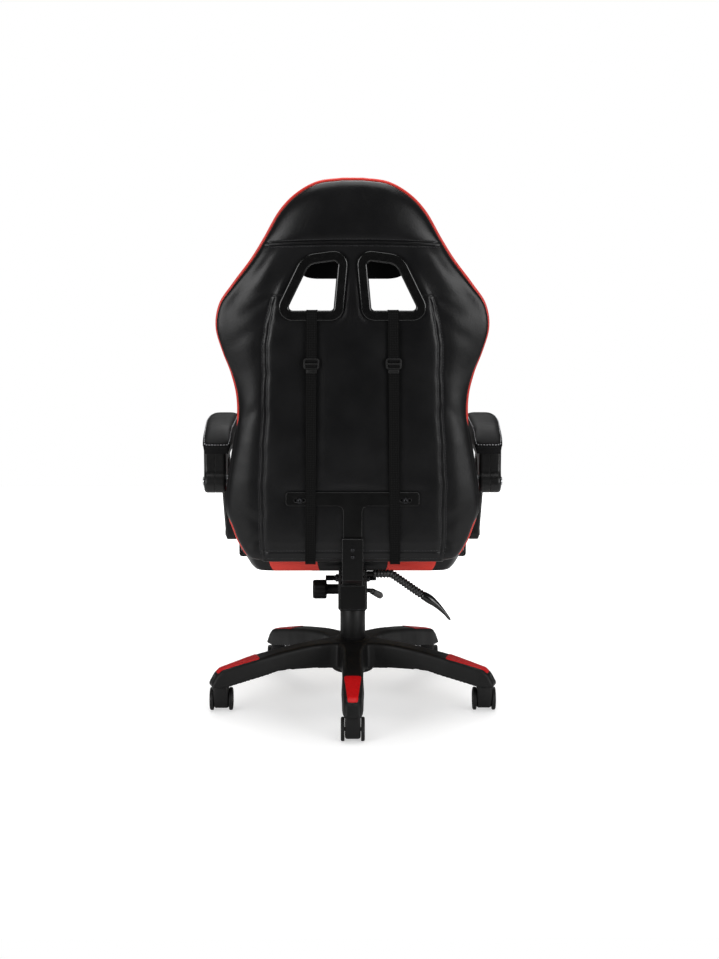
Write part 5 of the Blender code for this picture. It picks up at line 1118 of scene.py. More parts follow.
def make_back_cushion():
    """Front upholstery, swollen between its seams and flat where the pillows and straps lie on it."""
    even = evenly(back_curve, CUSHION_ROWS)[:, 1]
    rows = rows_with_seams(even, [*CHANNELS, HEAD_SEAM], CHANNEL_OFFSETS, 0.002)
    x = np.array([front_columns(s) for s in rows])
    cols = x.shape[1]
    s = np.repeat(rows[:, None], cols, axis=1)
    far = to_outline(x, s, back_curve)
    edge = to_edge(x, s, back_curve)
    hole = bezel_clearance(x, s)
    from_hole = hole - BEZEL_FLARE - 0.006
    wing = band(s, *WING_SHOWN)
    split = BACK_SPLIT - GAP
    full = split - BACK_FRONT + WING_RISE * wing * np.sin(pi * np.minimum(1.0, far / WING_WIDTH))
    rise = CUSHION_SIDE + (full - CUSHION_SIDE) * crown(edge, CUSHION_EDGE)
    face = grid(x, split - rise + CUSHION_START, s)
    base = grid(x, split, s)

    middle = (cols - 1) // 2
    valley = middle - VALLEY_PLACE
    crest = middle - CREST_PLACE
    seam_cols = sorted(middle + side * column for side in (1, -1) for column in (valley, crest))
    number = np.abs(np.arange(cols) - middle)
    quilted = number < valley
    channel = np.min([np.abs(s - c) for c in CHANNELS], axis=0)
    head = np.abs(s - HEAD_SEAM)
    held = np.isin(np.arange(cols), seam_cols) & (s > WING_SEAM_BOTTOM) & (s < HEAD_SEAM)
    held |= ((channel < 0.002) & quilted) | (head < 0.002)
    held |= (hole < BEZEL_FLARE + 0.010) | (edge < 0.004)
    keep_rows = [nearest(rows, c) for c in (*CHANNELS, HEAD_SEAM)]
    face = puffed(face, base, held, CUSHION_SWELL, keep_rows=keep_rows, keep_cols=seam_cols)
    resting = (np.abs(np.abs(x) - strap_x(s)) < STRAP_WIDTH / 2 + 0.003) & (s < 0.57)
    for half, low, high in PILLOW_RESTS:
        resting |= (np.abs(x) < half) & (s > low) & (s < high)
    lowest = np.where(resting, BACK_FRONT, BACK_FRONT - CUSHION_PROUD * ease(0.0, 0.030, from_hole))
    face[:, quilted, 1] = np.maximum(face[:, quilted, 1], lowest[:, quilted])

    normal = grid_normals(face, 1, -1)
    from_rim = far / np.minimum(1.0, back_half(s) / FULL_HALF)
    from_valley = from_rim - WING_WIDTH
    seams = groove(from_valley, 0.0020) + groove(from_rim - WING_CREST, 0.0018)
    seams = seams * (1 - ease(HEAD_SEAM - 0.006, HEAD_SEAM, s)) * ease(0.05, 0.07, s)
    quilt = CHANNEL_DEPTH * groove(channel, 0.0045) * quilted
    quilt = quilt * ease(0.0, 0.012, np.maximum(from_valley, 0.0)) * ease(0.0, 0.012, from_hole)
    relief = -WING_SEAM_DEPTH * seams - quilt - HEAD_SEAM_DEPTH * groove(head, 0.0022)
    face = face + normal * (relief * ease(0.0, 0.010, edge))[:, :, None]

    rim, foot = rims(face, base)
    shape = pad_shape(face, [rim + (foot - rim) * t for t in (0.3, 0.65, 1.0)])
    panel = np.abs(np.arange(cols - 1) + 0.5 - middle)
    red = (panel > valley) & (panel < crest) & ((rows[:-1] + rows[1:]) / 2 < HEAD_SEAM)[:, None]
    shades = np.zeros(len(shape[1]), int)
    shades[:red.size] = red.ravel()
    cushion = piece("back_front_upholstery", shape, "backrest", "black_leather", black_leather, red_leather,
                    stands_for=("back_cushion",), shades=shades)
    boss = [(PIVOT_BOSS_RADIUS + 0.0005, height) for height in (PIVOT_BOSS_START - 0.001, ARM_OUTER)]
    holes = [hole_cutter(side, -0.12, 0.05) for side in (1, -1)]
    cut(cushion, join(*holes, *(lathe(boss, 24, pivot_place(side)) for side in (1, -1))), 70)
    cushion.data.transform(BACK)

    span = np.flatnonzero((rows > WING_SEAM_BOTTOM) & (rows < HEAD_SEAM - 0.004))
    *channel_rows, head_row = keep_rows
    places = [(span, column + k) for column in seam_cols for k in (-2, 2)]
    places += [(row, np.flatnonzero(number < valley - 3)) for row in channel_rows]
    places += [np.s_[head_row + k, 6:-6] for k in (-2, 2)]
    thread_shape = moved(sewn(face, normal, places), BACK)
    piece("back_front_stitching", thread_shape, "backrest", "black_leather", thread)


def pivot_place(side):
    """Axis of an armrest's rear pivot in the back's frame, outward from the chair."""
    y, z = ARM_PIVOT
    spot = BACK.inverted() @ Vector((0.0, y, z))
    return Matrix.Scale(side, 4, (1, 0, 0)) @ along_x(0.0, spot.y, spot.z)


# Cut-out frames
def make_bezels():
    """Glossy moulded frame: a broad rounded rim on the rear face and a tunnel through the back."""
    rear = BACK_REAR + GAP
    crest = BACK_REAR + BEZEL_PROUD
    wide = flare(BACK_FRONT)
    profile = [(wide, BACK_FRONT), (wide + 0.0012, BACK_FRONT - 0.0006),
               (wide + BEZEL_WALL - 0.0012, BACK_FRONT - 0.0006), (wide + BEZEL_WALL, BACK_FRONT),
               (BEZEL_WALL + 0.0006, rear - 0.004), (RIM_SHOWN - 0.001, rear - 0.0006),
               (RIM_SHOWN, rear), (RIM_SHOWN, rear + 0.0028), (RIM_SHOWN - 0.0005, rear + 0.0041),
               (RIM_SHOWN - 0.0016, crest - 0.0003), (RIM_SHOWN - 0.0030, crest), (RIM_SHOWN - 0.0045, crest),
               (0.0060, crest - 0.0003), (0.0042, crest - 0.0004), (0.0024, crest - 0.0008),
               (0.0010, crest - 0.0019), (0.0003, crest - 0.0034), (0.0, crest - 0.0052)]
    for side, name in SIDES:
        rings = [[(x, v, s) for x, s in hole_ring(side, grow, 10)] for grow, v in profile]
        piece(f"cutout_frame_{name}", moved(loft(rings, closed=True), BACK), "backrest",
              "gloss_black_plastic", gloss, stands_for=(f"bezel_{name}",), crease=50)


# Straps and their slide buckles
BUCKLE_HEIGHT = 0.4645
BUCKLE_HALF = (0.0138, 0.0088)
BUCKLE_WIRE = 0.0017


def strap_route():
    """Middle line (v, s) of a strap: down the rear, under the back, up the front and through the cut-out."""
    half = STRAP_THICKNESS / 2
    over_rim = BACK_REAR + BEZEL_PROUD + GAP + half
    over_bar = BACK_REAR + 2 * GAP + BAR_THICKNESS + half
    through = SILL + GAP + half
    front = BACK_FRONT - GAP - half
    under = BACK_BOTTOM - GAP - half
    rim_low = SILL - BEZEL_RIM
    rear_wrap = [(BACK_REAR - 0.001, under + 0.0091), (BACK_REAR - 0.010, under + 0.0012),
                 (BACK_REAR - 0.016, under)]
    front_wrap = [(front + 0.020, under), (front + 0.010, under + 0.0036), (front + 0.003, under + 0.0141),
                  (front, under + 0.0281)]
    return [(over_rim - 0.0035, through), (over_rim, through - 0.0035), (over_rim, rim_low),
            (over_bar, BAR_HIGH), (over_bar, BAR_LOW), (over_bar - 0.0014, under + 0.0411),
            *rear_wrap, *front_wrap,
            (front, through - BEZEL_FLARE - 0.006), (front + 0.002, through - BEZEL_FLARE - 0.0015),
            (front + 0.007, through - flare(front + 0.007))]


def make_straps():
    """Webbing loops with thick edges, each with a wire buckle, its bar and a keeper under it."""
    route = strap_route()
    (rim_v, rim_s), (bar_v, bar_s) = route[2:4]
    buckle_v = rim_v + (bar_v - rim_v) * (rim_s - BUCKLE_HEIGHT) / (rim_s - bar_s)
    half = STRAP_THICKNESS / 2
    wide = STRAP_WIDTH / 2
    selvedge = [(wide - 0.0026, -half + 0.0002), (wide - 0.0022, -half), (wide - 0.0004, -half), (wide, 0.0),
                (wide - 0.0004, half), (wide - 0.0022, half), (wide - 0.0026, half - 0.0002)]
    section = selvedge + [(-a, -b) for a, b in selvedge]
    for side, name in SIDES:
        path = []
        for (v0, s0), (v1, s1) in zip(route, [*route[1:], route[0]]):
            steps = max(1, int(np.hypot(v1 - v0, s1 - s0) / 0.012))
            for k in range(steps):
                t = k / steps
                s = s0 + (s1 - s0) * t
                path.append((side * strap_x(s), v0 + (v1 - v0) * t, s))
        strap = sweep(path, lambda i: section, closed=True, side=(1, 0, 0))
        piece(f"webbing_strap_{name}", moved(strap, BACK), "backrest", "black_webbing", webbing,
              stands_for=(f"strap_{name}",), crease=50)

        centre = side * strap_x(BUCKLE_HEIGHT)
        wire = circle(BUCKLE_WIRE, 10)
        across, up = BUCKLE_HALF
        outline = rounded(rectangle(-across, across, -up, up), 0.0035, 5)
        ring = sweep([(centre + a, buckle_v, BUCKLE_HEIGHT + b) for a, b in outline],
                     lambda i: [(a * 1.05, b * 1.35) for a, b in wire], closed=True)
        bar = sweep([(centre + a, buckle_v + 0.0026, BUCKLE_HEIGHT) for a in (-across, across)],
                    lambda i: [(a * 1.5, b) for a, b in wire])
        keeper = slab(rounded(rectangle(-wide, wide, -0.0036, 0.0036), 0.001, 2),
                      soft_edges(half + 0.0002, half + 0.0016, 0.0005, 2),
                      lambda a, b, v: Vector((centre + a, buckle_v + v, BUCKLE_HEIGHT - 0.0150 + b)))
        piece(f"slide_buckle_{name}", moved(join(ring, bar, keeper), BACK), "backrest", "black_nylon", nylon,
              stands_for=(f"buckle_{name}",))


# Pillows
PILLOW_SIDE = 0.016
PILLOW_EDGE = 0.055
PILLOW_SQUARENESS = 0.20
PILLOW_SWEEP = radians(84.6)
PILLOW_SWELL = 0.008
PILLOW_ROWS = 61
PILLOW_COLUMNS = 71
PILLOW_SPREAD = pi / 2 * 0.94
PILLOW_WELT_RADIUS = 0.0022
PINCH_DEPTH = 0.0011
PINCH_COUNT = 22


def make_pillow(name, node, half_width, low, high, thickness, gap):
    """Fibre-filled pillow, boxed by a piped seam, flat only where it leans on the back."""
    middle = (low + high) / 2
    angles = PILLOW_SWEEP * np.linspace(-1.0, 1.0, PILLOW_ROWS)
    rows = middle + (high - low) / 2 * np.sin(angles) / np.sin(PILLOW_SWEEP)
    width = half_width * np.cos(angles) ** PILLOW_SQUARENESS
    spread = np.sin(np.linspace(-1.0, 1.0, PILLOW_COLUMNS) * PILLOW_SPREAD) / np.sin(PILLOW_SPREAD)
    x = width[:, None] * spread[None, :]
    s = np.repeat(rows[:, None], x.shape[1], axis=1)
    far = to_edge(x, s, np.stack([width, rows], axis=1))
    rest = BACK_FRONT - gap
    rise = PILLOW_SIDE + (thickness - PILLOW_SWELL - PILLOW_SIDE) * crown(far, PILLOW_EDGE) ** 1.15
    face = grid(x, rest - rise, s)
    base = grid(x * 0.97, rest, s)
    face = puffed(face, base, far < 0.002, PILLOW_SWELL, every=(2, 2))
    pinch = PINCH_DEPTH * np.sin(np.arctan2(s - middle, x) * PINCH_COUNT)
    pinch = pinch * groove(far, 0.020) * ease(0.0, 0.010, far)
    face[:, :, 1] = np.maximum(face[:, :, 1], rest - thickness - 0.004) - pinch
    rim, foot = rims(face, base)
    shape = pad_shape(face, [rim + (foot - rim) * t for t in (0.2, 0.5, 0.8, 1.0)])
    pillow = piece(name, moved(shape, BACK), "backrest", "black_leather", black_leather,
                   stands_for=(node,), crease=75)
    welt = sweep([tuple(p) for p in rim[::2]], lambda i: circle(PILLOW_WELT_RADIUS, 8), closed=True)
    piece(f"{name}_piping", moved(welt, BACK), "backrest", "black_leather", black_leather)
    places = [np.s_[5, 8:-8], np.s_[-6, 8:-8], np.s_[5:-5, 6], np.s_[5:-5, -7]]
    thread_shape = moved(sewn(face, grid_normals(face, 1, -1), places), BACK)
    piece(f"{name}_stitching", thread_shape, "backrest", "black_leather", thread)


# Seat cushion: black middle, red bolster slopes and black outer bolsters
SEAT_SIDE = 0.050
SEAT_HEIGHT = 0.100
SEAT_BOLSTER = 0.036
SEAT_BOLSTER_WIDTH = 0.105
SEAT_EDGE = 0.045
SEAT_DRAW_IN = 0.96
SEAT_CHANNEL_PITCH = 0.075
SEAT_RED = (0.0735, 0.1745)
# Seams over the bolsters, from the rear to the front: (y, x)
SEAT_VALLEY = ((0.160, 0.0735), (0.120, 0.0870), (0.030, 0.1200), (-0.100, 0.1320), (-0.230, 0.1310),
               (-0.325, 0.0930))
SEAT_CREST = ((0.160, 0.1650), (0.156, 0.1735), (0.150, 0.1790), (0.105, 0.1830), (0.020, 0.1930),
              (-0.100, 0.1950), (-0.210, 0.1930), (-0.275, 0.1820), (-0.313, 0.1600), (-0.325, 0.1270))
# Wall from the rim to the pan: share of the way down and bulge
SEAT_WALL = ((0.06, -0.0022), (0.14, 0.0006), (0.3, 0.0030), (0.5, 0.0036), (0.72, 0.0026), (0.9, 0.0),
             (1.0, -0.0030))
SEAT_SWELL = 0.012
SEAT_CHANNEL_OFFSETS = np.array([-6.0, -3.0, 0.0, 3.0, 6.0]) / 1000
SEAT_MIDDLE_COLUMNS = 23
SEAT_SLOPE_COLUMNS = 8
SEAT_OUTER_COLUMNS = 9
SEAT_NEAR = np.array([-6.0, -3.5, -2.0, 0.0, 2.0, 3.5, 6.0]) / 1000
SEAT_VALLEY_COLUMN = SEAT_MIDDLE_COLUMNS + len(SEAT_NEAR) // 2
SEAT_CREST_COLUMN = SEAT_VALLEY_COLUMN + len(SEAT_NEAR) + SEAT_SLOPE_COLUMNS
seat_curve = smooth_curve(SEAT_OUTLINE, 10)


def seat_half(y):
    """Half width of the seat at a depth."""
    return looked_up(seat_curve[::-1, ::-1], y)


def seat_valley(y):
    return looked_up(SEAT_VALLEY[::-1], y)


def seat_crest(y):
    return np.minimum(looked_up(SEAT_CREST[::-1], y), seat_half(y) - 0.005)


def seat_columns(y):
    """Places across one row of the seat, with close columns over its seams."""
    half = float(seat_half(y))
    valley = float(seat_valley(y)) + SEAT_NEAR
    crest = float(seat_crest(y))
    wing = crest + SEAT_NEAR * min(1.0, (half - crest) / 0.012)
    middle = np.linspace(0.0, valley[0], SEAT_MIDDLE_COLUMNS + 1)[:-1]
    slope = np.linspace(valley[-1], wing[0], SEAT_SLOPE_COLUMNS + 2)[1:-1]
    outer = wing[-1] + (half - wing[-1]) * np.sin(np.linspace(0.0, pi / 2, SEAT_OUTER_COLUMNS + 1)[1:])
    return mirrored(np.concatenate([middle, valley, slope, wing, outer]))


def make_seat_cushion():
    """Seat upholstery, swollen between its seams, with walls that roll under to the pan."""
    rows = np.unique(evenly(seat_curve, 120)[:, 1])[::-1]
    channels = [SEAT_CHANNEL_PITCH * k for k in range(-3, 2)]
    rows = rows_with_seams(rows, channels, SEAT_CHANNEL_OFFSETS, 0.002)
    x = np.array([seat_columns(y) for y in rows])
    cols = x.shape[1]
    y = np.repeat(rows[:, None], cols, axis=1)
    bump = np.sin(pi * np.minimum(1.0, (seat_half(y) - np.abs(x)) / SEAT_BOLSTER_WIDTH))
    full = SEAT_HEIGHT + SEAT_BOLSTER * (bump * ease(-0.325, -0.200, y))
    far = to_edge(x, y, seat_curve)
    rise = SEAT_SIDE + (full - 0.004 - SEAT_SIDE) * crown(far, SEAT_EDGE)
    face = grid(x, y, SEAT_BOTTOM + rise)
    base = grid(x * SEAT_DRAW_IN, y, SEAT_BOTTOM)

    middle = (cols - 1) // 2
    number = np.abs(np.arange(cols) - middle)
    quilted = number < SEAT_VALLEY_COLUMN
    channel = np.min([np.abs(y - c) for c in channels], axis=0)
    held = np.isin(number, (SEAT_VALLEY_COLUMN, SEAT_CREST_COLUMN)) & (far > 0.010)
    held |= ((channel < 0.001) & quilted) | (far < 0.002)
    keep_rows = [nearest(rows, c) for c in channels]
    seam_cols = [middle + k * c for k in (1, -1) for c in (SEAT_VALLEY_COLUMN, SEAT_CREST_COLUMN)]
    face = puffed(face, base, held, SEAT_SWELL, every=(2, 2), keep_rows=keep_rows, keep_cols=seam_cols)
    normal = grid_normals(face, 2, 1)
    seams = groove(np.abs(x) - seat_valley(y), 0.0022) + groove(np.abs(x) - seat_crest(y), 0.0020)
    quilt = groove(channel, 0.0040) * quilted * ease(0.0, 0.014, seat_valley(y) - np.abs(x))
    relief = -0.0026 * seams - 0.0034 * quilt
    face = face + normal * (relief * ease(0.0, 0.010, far))[:, :, None]

    rim, foot = rims(face, base)
    out = rim[:, :2] / np.linalg.norm(rim[:, :2], axis=1, keepdims=True)
    loops = []
    for t, bulge in SEAT_WALL:
        loop = rim + (foot - rim) * np.array([t ** 2.2, t ** 2.2, t])
        loop[:, :2] += out * bulge
        loops.append(loop)
    shape = pad_shape(face, loops)
    panel = np.abs(np.arange(cols - 1) + 0.5 - middle)
    red = (panel > SEAT_VALLEY_COLUMN) & (panel < SEAT_CREST_COLUMN)
    beside, along = np.abs((rim + np.roll(rim, -1, axis=0)) / 2)[:, :2].T
    red_wall = (beside > SEAT_RED[0]) & (beside < SEAT_RED[1]) & (along > 0.14)
    shades = np.concatenate([np.tile(red, len(rows) - 1), np.tile(red_wall, len(loops)), [False]]).astype(int)
    cushion = piece("seat_upholstery", shape, "seat", "seat_leather", black_leather, red_leather,
                    stands_for=("seat_cushion",), crease=70, shades=shades)

    span = np.flatnonzero((rows > -0.300) & (rows < 0.140))
    places = [(span, column + k) for column in seam_cols for k in (-2, 2)]
    places += [(row, np.flatnonzero(number < SEAT_VALLEY_COLUMN - 3)) for row in keep_rows]
    closed = np.append(np.arange(len(rim)), 0)
    level = np.concatenate([out, np.zeros((len(rim), 1))], axis=1)
    hem = stitches([(loops[1][closed], level[closed])])
    piece("seat_stitching", join(sewn(face, normal, places), hem), "seat", "seat_leather", thread)


# Armrests
ARM_FRONT = -0.120
ARM_HUB_RADIUS = 0.024
ARM_BOSS_RADIUS = 0.017
ARM_SHELL = 0.0055
ARM_PIN_RADIUS = 0.0060
ARM_BORE_RADIUS = 0.0064
PIVOT_BOSS_RADIUS = 0.0130
PIVOT_BOSS_START = ARM_INNER - 0.046


def arm_outline():
    """Side view (y, z) of a moulded arm: a beam under the pad, a front boss and the rear hub."""
    hub_y, hub_z = ARM_PIVOT
    end = hub_y + ARM_HUB_RADIUS
    length = end - 0.036 - ARM_FRONT - 0.002
    beam = [(ARM_FRONT + 0.006 + length * k / 12, ARM_TOP) for k in range(13)]
    neck = hub_y + 0.0125
    rear = [(neck, ARM_TOP), (neck, hub_z + 0.040), (neck, hub_z + 0.030), (neck + 0.0006, hub_z + 0.0245)]
    hub_arc = arc(ARM_PIVOT, ARM_HUB_RADIUS, 48, -165, 28)
    belly = [(hub_y - 0.030, hub_z + 0.024), (hub_y - 0.042, hub_z + 0.032), (hub_y - 0.060, hub_z + 0.0362),
             (hub_y - 0.145, hub_z + 0.038)]
    boss_arc = arc(LINK_TOP, ARM_BOSS_RADIUS, -60, -145, 9)
    boss_z = LINK_TOP[1]
    nose = [(ARM_FRONT + 0.004, boss_z - 0.002), (ARM_FRONT, boss_z + 0.012),
            (ARM_FRONT + 0.001, ARM_TOP - 0.006)]
    return list(reversed([*beam, *rear, *hub_arc, *belly, *boss_arc, *nose]))


def in_side_view(a, b, x):
    """A point of a side view (y, z) at a place across the chair."""
    return Vector((x, a, b))


def make_arm(side, name):
    """Hollow moulded arm with its parting line, screw caps, and the steel pivot that carries its hub."""
    middle = (ARM_INNER + ARM_OUTER) / 2
    edges = soft_edges(ARM_INNER, ARM_OUTER, 0.0065, 5)
    half = len(edges) // 2
    parting = [(ARM_INNER + 0.0078, 0.0), (middle - 0.0024, 0.0), (middle - 0.0008, 0.0), (middle, 0.0007),
               (middle + 0.0008, 0.0), (middle + 0.0024, 0.0), (ARM_OUTER - 0.0078, 0.0)]
    shape = slab(arm_outline(), edges[:half] + parting + edges[half:], in_side_view)
    body = piece(f"armrest_moulding_{name}", flipped(shape, side), f"armrest_{name}", "black_nylon",
                 arm_nylon, stands_for=(f"arm_body_{name}",))
    trough = rounded(rectangle(-0.102, 0.105, ARM_PIVOT[1] - 0.010, ARM_TOP - 0.0065), 0.004, 3)
    hollow = loft([[(x, y, z) for y, z in trough] for x in (ARM_INNER + ARM_SHELL, ARM_OUTER - ARM_SHELL)])
    bore = lathe([(ARM_BORE_RADIUS, ARM_INNER - 0.01), (ARM_BORE_RADIUS, ARM_OUTER + 0.01)], 32,
                 along_x(0.0, *ARM_PIVOT))
    cut(body, flipped(join(hollow, bore), side), 40)
    pin = lathe([(0.0040, ARM_INNER + 0.003), (0.0040, ARM_OUTER - 0.003)], 24, along_x(0.0, *LINK_TOP))
    cap = lathe([(0.0100, 0.0), (0.0100, 0.0008), (0.0092, 0.0016), (0.0030, 0.0019)], 32,
                along_x(ARM_OUTER - 0.0002, *LINK_TOP))
    dimple = lathe([(0.0080, 0.0), (0.0080, 0.0006), (0.0070, 0.0010)], 32,
                   along_x(ARM_OUTER - 0.0002, -0.100, 0.588))
    piece(f"armrest_screw_caps_{name}", flipped(join(pin, cap, dimple), side), f"armrest_{name}",
          "black_nylon", nylon)

    button = [(0.0090, 0.0), (0.0090, 0.0012), (0.0083, 0.0023), (0.0060, 0.0028), (0.0046, 0.0028),
              (0.0044, 0.0010), (0.0010, 0.0010)]
    head = lathe(button, 48, pivot_place(side) @ Matrix.Translation((0.0, 0.0, ARM_OUTER + GAP)))
    shank = lathe([(PIVOT_BOSS_RADIUS, PIVOT_BOSS_START), (PIVOT_BOSS_RADIUS, ARM_INNER - GAP),
                   (ARM_PIN_RADIUS, ARM_INNER - GAP), (ARM_PIN_RADIUS, ARM_OUTER + 0.0006)],
                  40, pivot_place(side))
    piece(f"armrest_pivot_{name}", moved(join(head, shank), BACK), "backrest", "bright_steel", steel,
          stands_for=(f"arm_pivot_{name}",))


# Arm pads: heights of the seam and its stitches, the two ends with their rolls, and how the section is made
PAD_SEAM = 0.0150
PAD_STITCH = PAD_SEAM + 0.0024
PAD_MIDDLE = 18
PAD_FRONT = -0.128
PAD_REAR = 0.197
PAD_NOSE = 0.060
PAD_TAIL = 0.084
PAD_SQUARE = 0.57
PAD_FULLER = (0.0, 0.25, 0.40, 0.85)
PAD_BLEND = 0.0015
PAD_SWELL = 0.0030
PAD_THREAD = 0.0011


def crossing(values, level):
    """Where a rising row of values first passes a level, as an index and a share of the next step."""
    k = int(np.argmax(values[1:] >= level))
    return k, float(np.clip((level - values[k]) / max(values[k + 1] - values[k], 1e-9), 0.0, 1.0))


def pad_seam(height, layers):
    """Closed line round a pad at the stitches' height, through each grid of vectors."""
    rows, columns = height.shape
    turn = PAD_MIDDLE // 2
    spots = []
    for i in range(rows):
        k, share = crossing(height[i, :PAD_MIDDLE + 1], PAD_STITCH)
        if height[i, PAD_MIDDLE] > PAD_STITCH and k < turn:
            spots.append(((i, k), (i, k + 1), share))
    tail = []
    nose = []
    for k in range(turn, columns - turn):
        i, share = crossing(height[::-1, k], PAD_STITCH)
        tail.append(((rows - 1 - i, k), (rows - 2 - i, k), share))
        i, share = crossing(height[:, k], PAD_STITCH)
        nose.append(((i, k), (i + 1, k), share))
    inner = [tuple((i, columns - 1 - k) for i, k in pair) + (share,) for *pair, share in spots[::-1]]
    loop = [*spots, *tail, *inner, *nose[::-1]]
    loop.append(loop[0])
    return [np.array([layer[a] * (1 - t) + layer[b] * t for a, b, t in loop]) for layer in layers]


def pad_ring(y, angles):
    """Section across a pad: a squarish arch that dips at both ends and is fuller on the outer side."""
    middle = (PAD_INNER + PAD_OUTER) / 2
    low = ARM_TOP + GAP
    wrapped = float(ease(PAD_REAR - 0.0100, PAD_REAR - 0.0068, y))
    bottom = low - 0.015 * wrapped
    nose = sin(acos(min(1.0, max(0.0, (PAD_FRONT + PAD_NOSE - y) / PAD_NOSE))))
    tail = sin(acos(min(1.0, max(0.0, (y - PAD_REAR + PAD_TAIL) / PAD_TAIL))))
    share = (y - PAD_FRONT) / (PAD_REAR - PAD_FRONT)
    top = low + 0.0060 + (0.0240 + 0.0070 * sin(pi * share)) * nose
    top = low - 0.0100 + (top - low + 0.0100) * tail
    wide = (PAD_OUTER - PAD_INNER) / 2 * (0.80 + 0.20 * float(crown(np.array(y - PAD_FRONT), 0.030)))
    wide *= 0.80 + 0.20 * float(crown(np.array(PAD_REAR - y), 0.070))
    fuller = 0.0060 * float(band(share, *PAD_FULLER))
    ring = []
    for angle in angles:
        a = np.sign(cos(angle)) * abs(cos(angle)) ** 0.45
        b = abs(sin(angle)) ** PAD_SQUARE
        reach = (wide + (fuller if a > 0 else 0.0)) * (1 - 0.24 * wrapped * (1 - b) ** 4)
        ring.append((middle + reach * a, y, bottom + (top - bottom) * b))
    return ring


def make_arm_pad(side, name):
    """Foam pad in stitched leather: a crowned top, a seam on its shoulder and a rear end wrapped down."""
    swing = np.linspace(0.0, pi / 2, 19)
    places = np.concatenate([PAD_FRONT + PAD_NOSE * (1 - np.sin(swing[:0:-1])),
                             np.linspace(PAD_FRONT + PAD_NOSE, PAD_REAR - PAD_TAIL, 28)[:-1],
                             PAD_REAR - PAD_TAIL * (1 - np.sin(swing[:-1])), [PAD_REAR - 0.0001]])
    angles = np.linspace(0.0, pi, 2 * PAD_MIDDLE + 1)
    face = np.array([pad_ring(y, angles) for y in np.unique(np.round(places, 6))])
    base = face.copy()
    base[:, :, 2] = face[:, :1, 2]
    y, z = face[:, :, 1], face[:, :, 2]
    height = z - (ARM_TOP + GAP) - 0.0100 + 0.0250 * ease(PAD_REAR - 0.055, PAD_REAR - 0.006, y)
    shoulder = PAD_SEAM + 0.036 * (np.abs(np.sin(angles)) ** PAD_SQUARE - 0.70)
    height = -PAD_BLEND * np.log(np.exp(-height / PAD_BLEND) + np.exp(-shoulder / PAD_BLEND)[None, :])
    held = height < PAD_SEAM
    held[[0, -1]] = True
    face = puffed(face, base, held, PAD_SWELL, every=(2, 2), pressure=3.0)
    normal = grid_normals(face, 2, 1)
    face = face - normal * (0.0015 * groove(height - PAD_SEAM, 0.0020))[:, :, None]
    middle = (PAD_INNER + PAD_OUTER) / 2
    inset = rims(face, base)[1]
    inset[:, 0] = middle + (inset[:, 0] - middle) * 0.97
    pad = piece(f"armrest_pad_{name}", flipped(pad_shape(face, [inset]), side), f"armrest_{name}",
                "black_leather", pad_leather, stands_for=(f"arm_pad_{name}",), crease=75)
    seam = flipped(stitches([pad_seam(height, (face, normal))], PAD_THREAD), side)
    piece(f"armrest_pad_stitching_{name}", seam, f"armrest_{name}", "black_leather", pale_thread)


# Front links
LINK_PIVOT = (-0.030, 0.372)
LINK_LOW_X = 0.2675
LINK_HIGH_X = 0.2840
LINK_RADIUS = 0.016
LINK_HALF = 0.0110


def make_link(side, name):
    """Moulded front link from the seat bracket's stud to the arm's boss, leaning outward as it rises."""
    (low_y, low_z), (high_y, high_z) = LINK_PIVOT, LINK_TOP
    tilt = np.degrees(atan2(high_z - low_z, high_y - low_y))
    outline = arc(LINK_TOP, LINK_RADIUS, tilt - 90, tilt + 90, 16)
    outline += arc(LINK_PIVOT, LINK_RADIUS, tilt + 90, tilt + 270, 16)

    def place(a, b, offset):
        share = (b - low_z) / (high_z - low_z)
        return Vector((LINK_LOW_X + (LINK_HIGH_X - LINK_LOW_X) * share + offset, a, b))

    edges = soft_edges(-LINK_HALF, LINK_HALF, 0.0034, 4)
    half = len(edges) // 2
    shape = slab(outline, edges[:half] + [(-0.0060, 0.0), (0.0060, 0.0)] + edges[half:], place)
    cap = lathe([(0.0085, 0.0), (0.0085, 0.0010), (0.0076, 0.0018), (0.0030, 0.0020)], 32,
                along_x(LINK_LOW_X + 0.0108, *LINK_PIVOT))
    piece(f"armrest_front_link_{name}", flipped(join(shape, cap), side), f"link_{name}", "black_nylon",
          arm_nylon, stands_for=(f"arm_link_{name}",))


# Base
LEG_TOP = ((0.030, 0.139), (0.100, 0.136), (0.157, 0.128), (0.220, 0.116), (0.300, 0.096), (0.312, 0.085),
           (0.3226, 0.067))
LEG_UNDER = ((0.030, 0.081), (0.157, 0.086), (0.200, 0.079), (0.272, 0.063), (0.290, 0.0585),
             (0.3226, 0.0585))
LEG_HALF_WIDTH = ((0.030, 0.0225), (0.157, 0.0205), (0.220, 0.0222), (0.290, 0.0200), (0.3226, 0.0160))
HUB_RADIUS = 0.048
HUB_TOP = 0.142
HUB_BOTTOM = 0.070
CASTER_CIRCLE = 0.300
BASE_VOXEL = 0.0022
COLUMN_BORE = 0.0256
# Foot cover: its two ends and half widths
INSERT_INNER, INSERT_OUTER = 0.217, 0.3085
INSERT_WIDE, INSERT_NARROW = 0.0182, 0.0104
leg_top = smooth_curve(LEG_TOP[:5], 8)
leg_under = smooth_curve(LEG_UNDER[:5], 8)


def leg_turn(index):
    return Matrix.Rotation(2 * pi * index / LEG_COUNT, 4, "Z")


def leg_height(radius):
    """Top of a leg, with the slanted nose past the caster."""
    if radius > LEG_TOP[4][0]:
        return float(looked_up(LEG_TOP, radius))
    return float(looked_up(leg_top, radius))


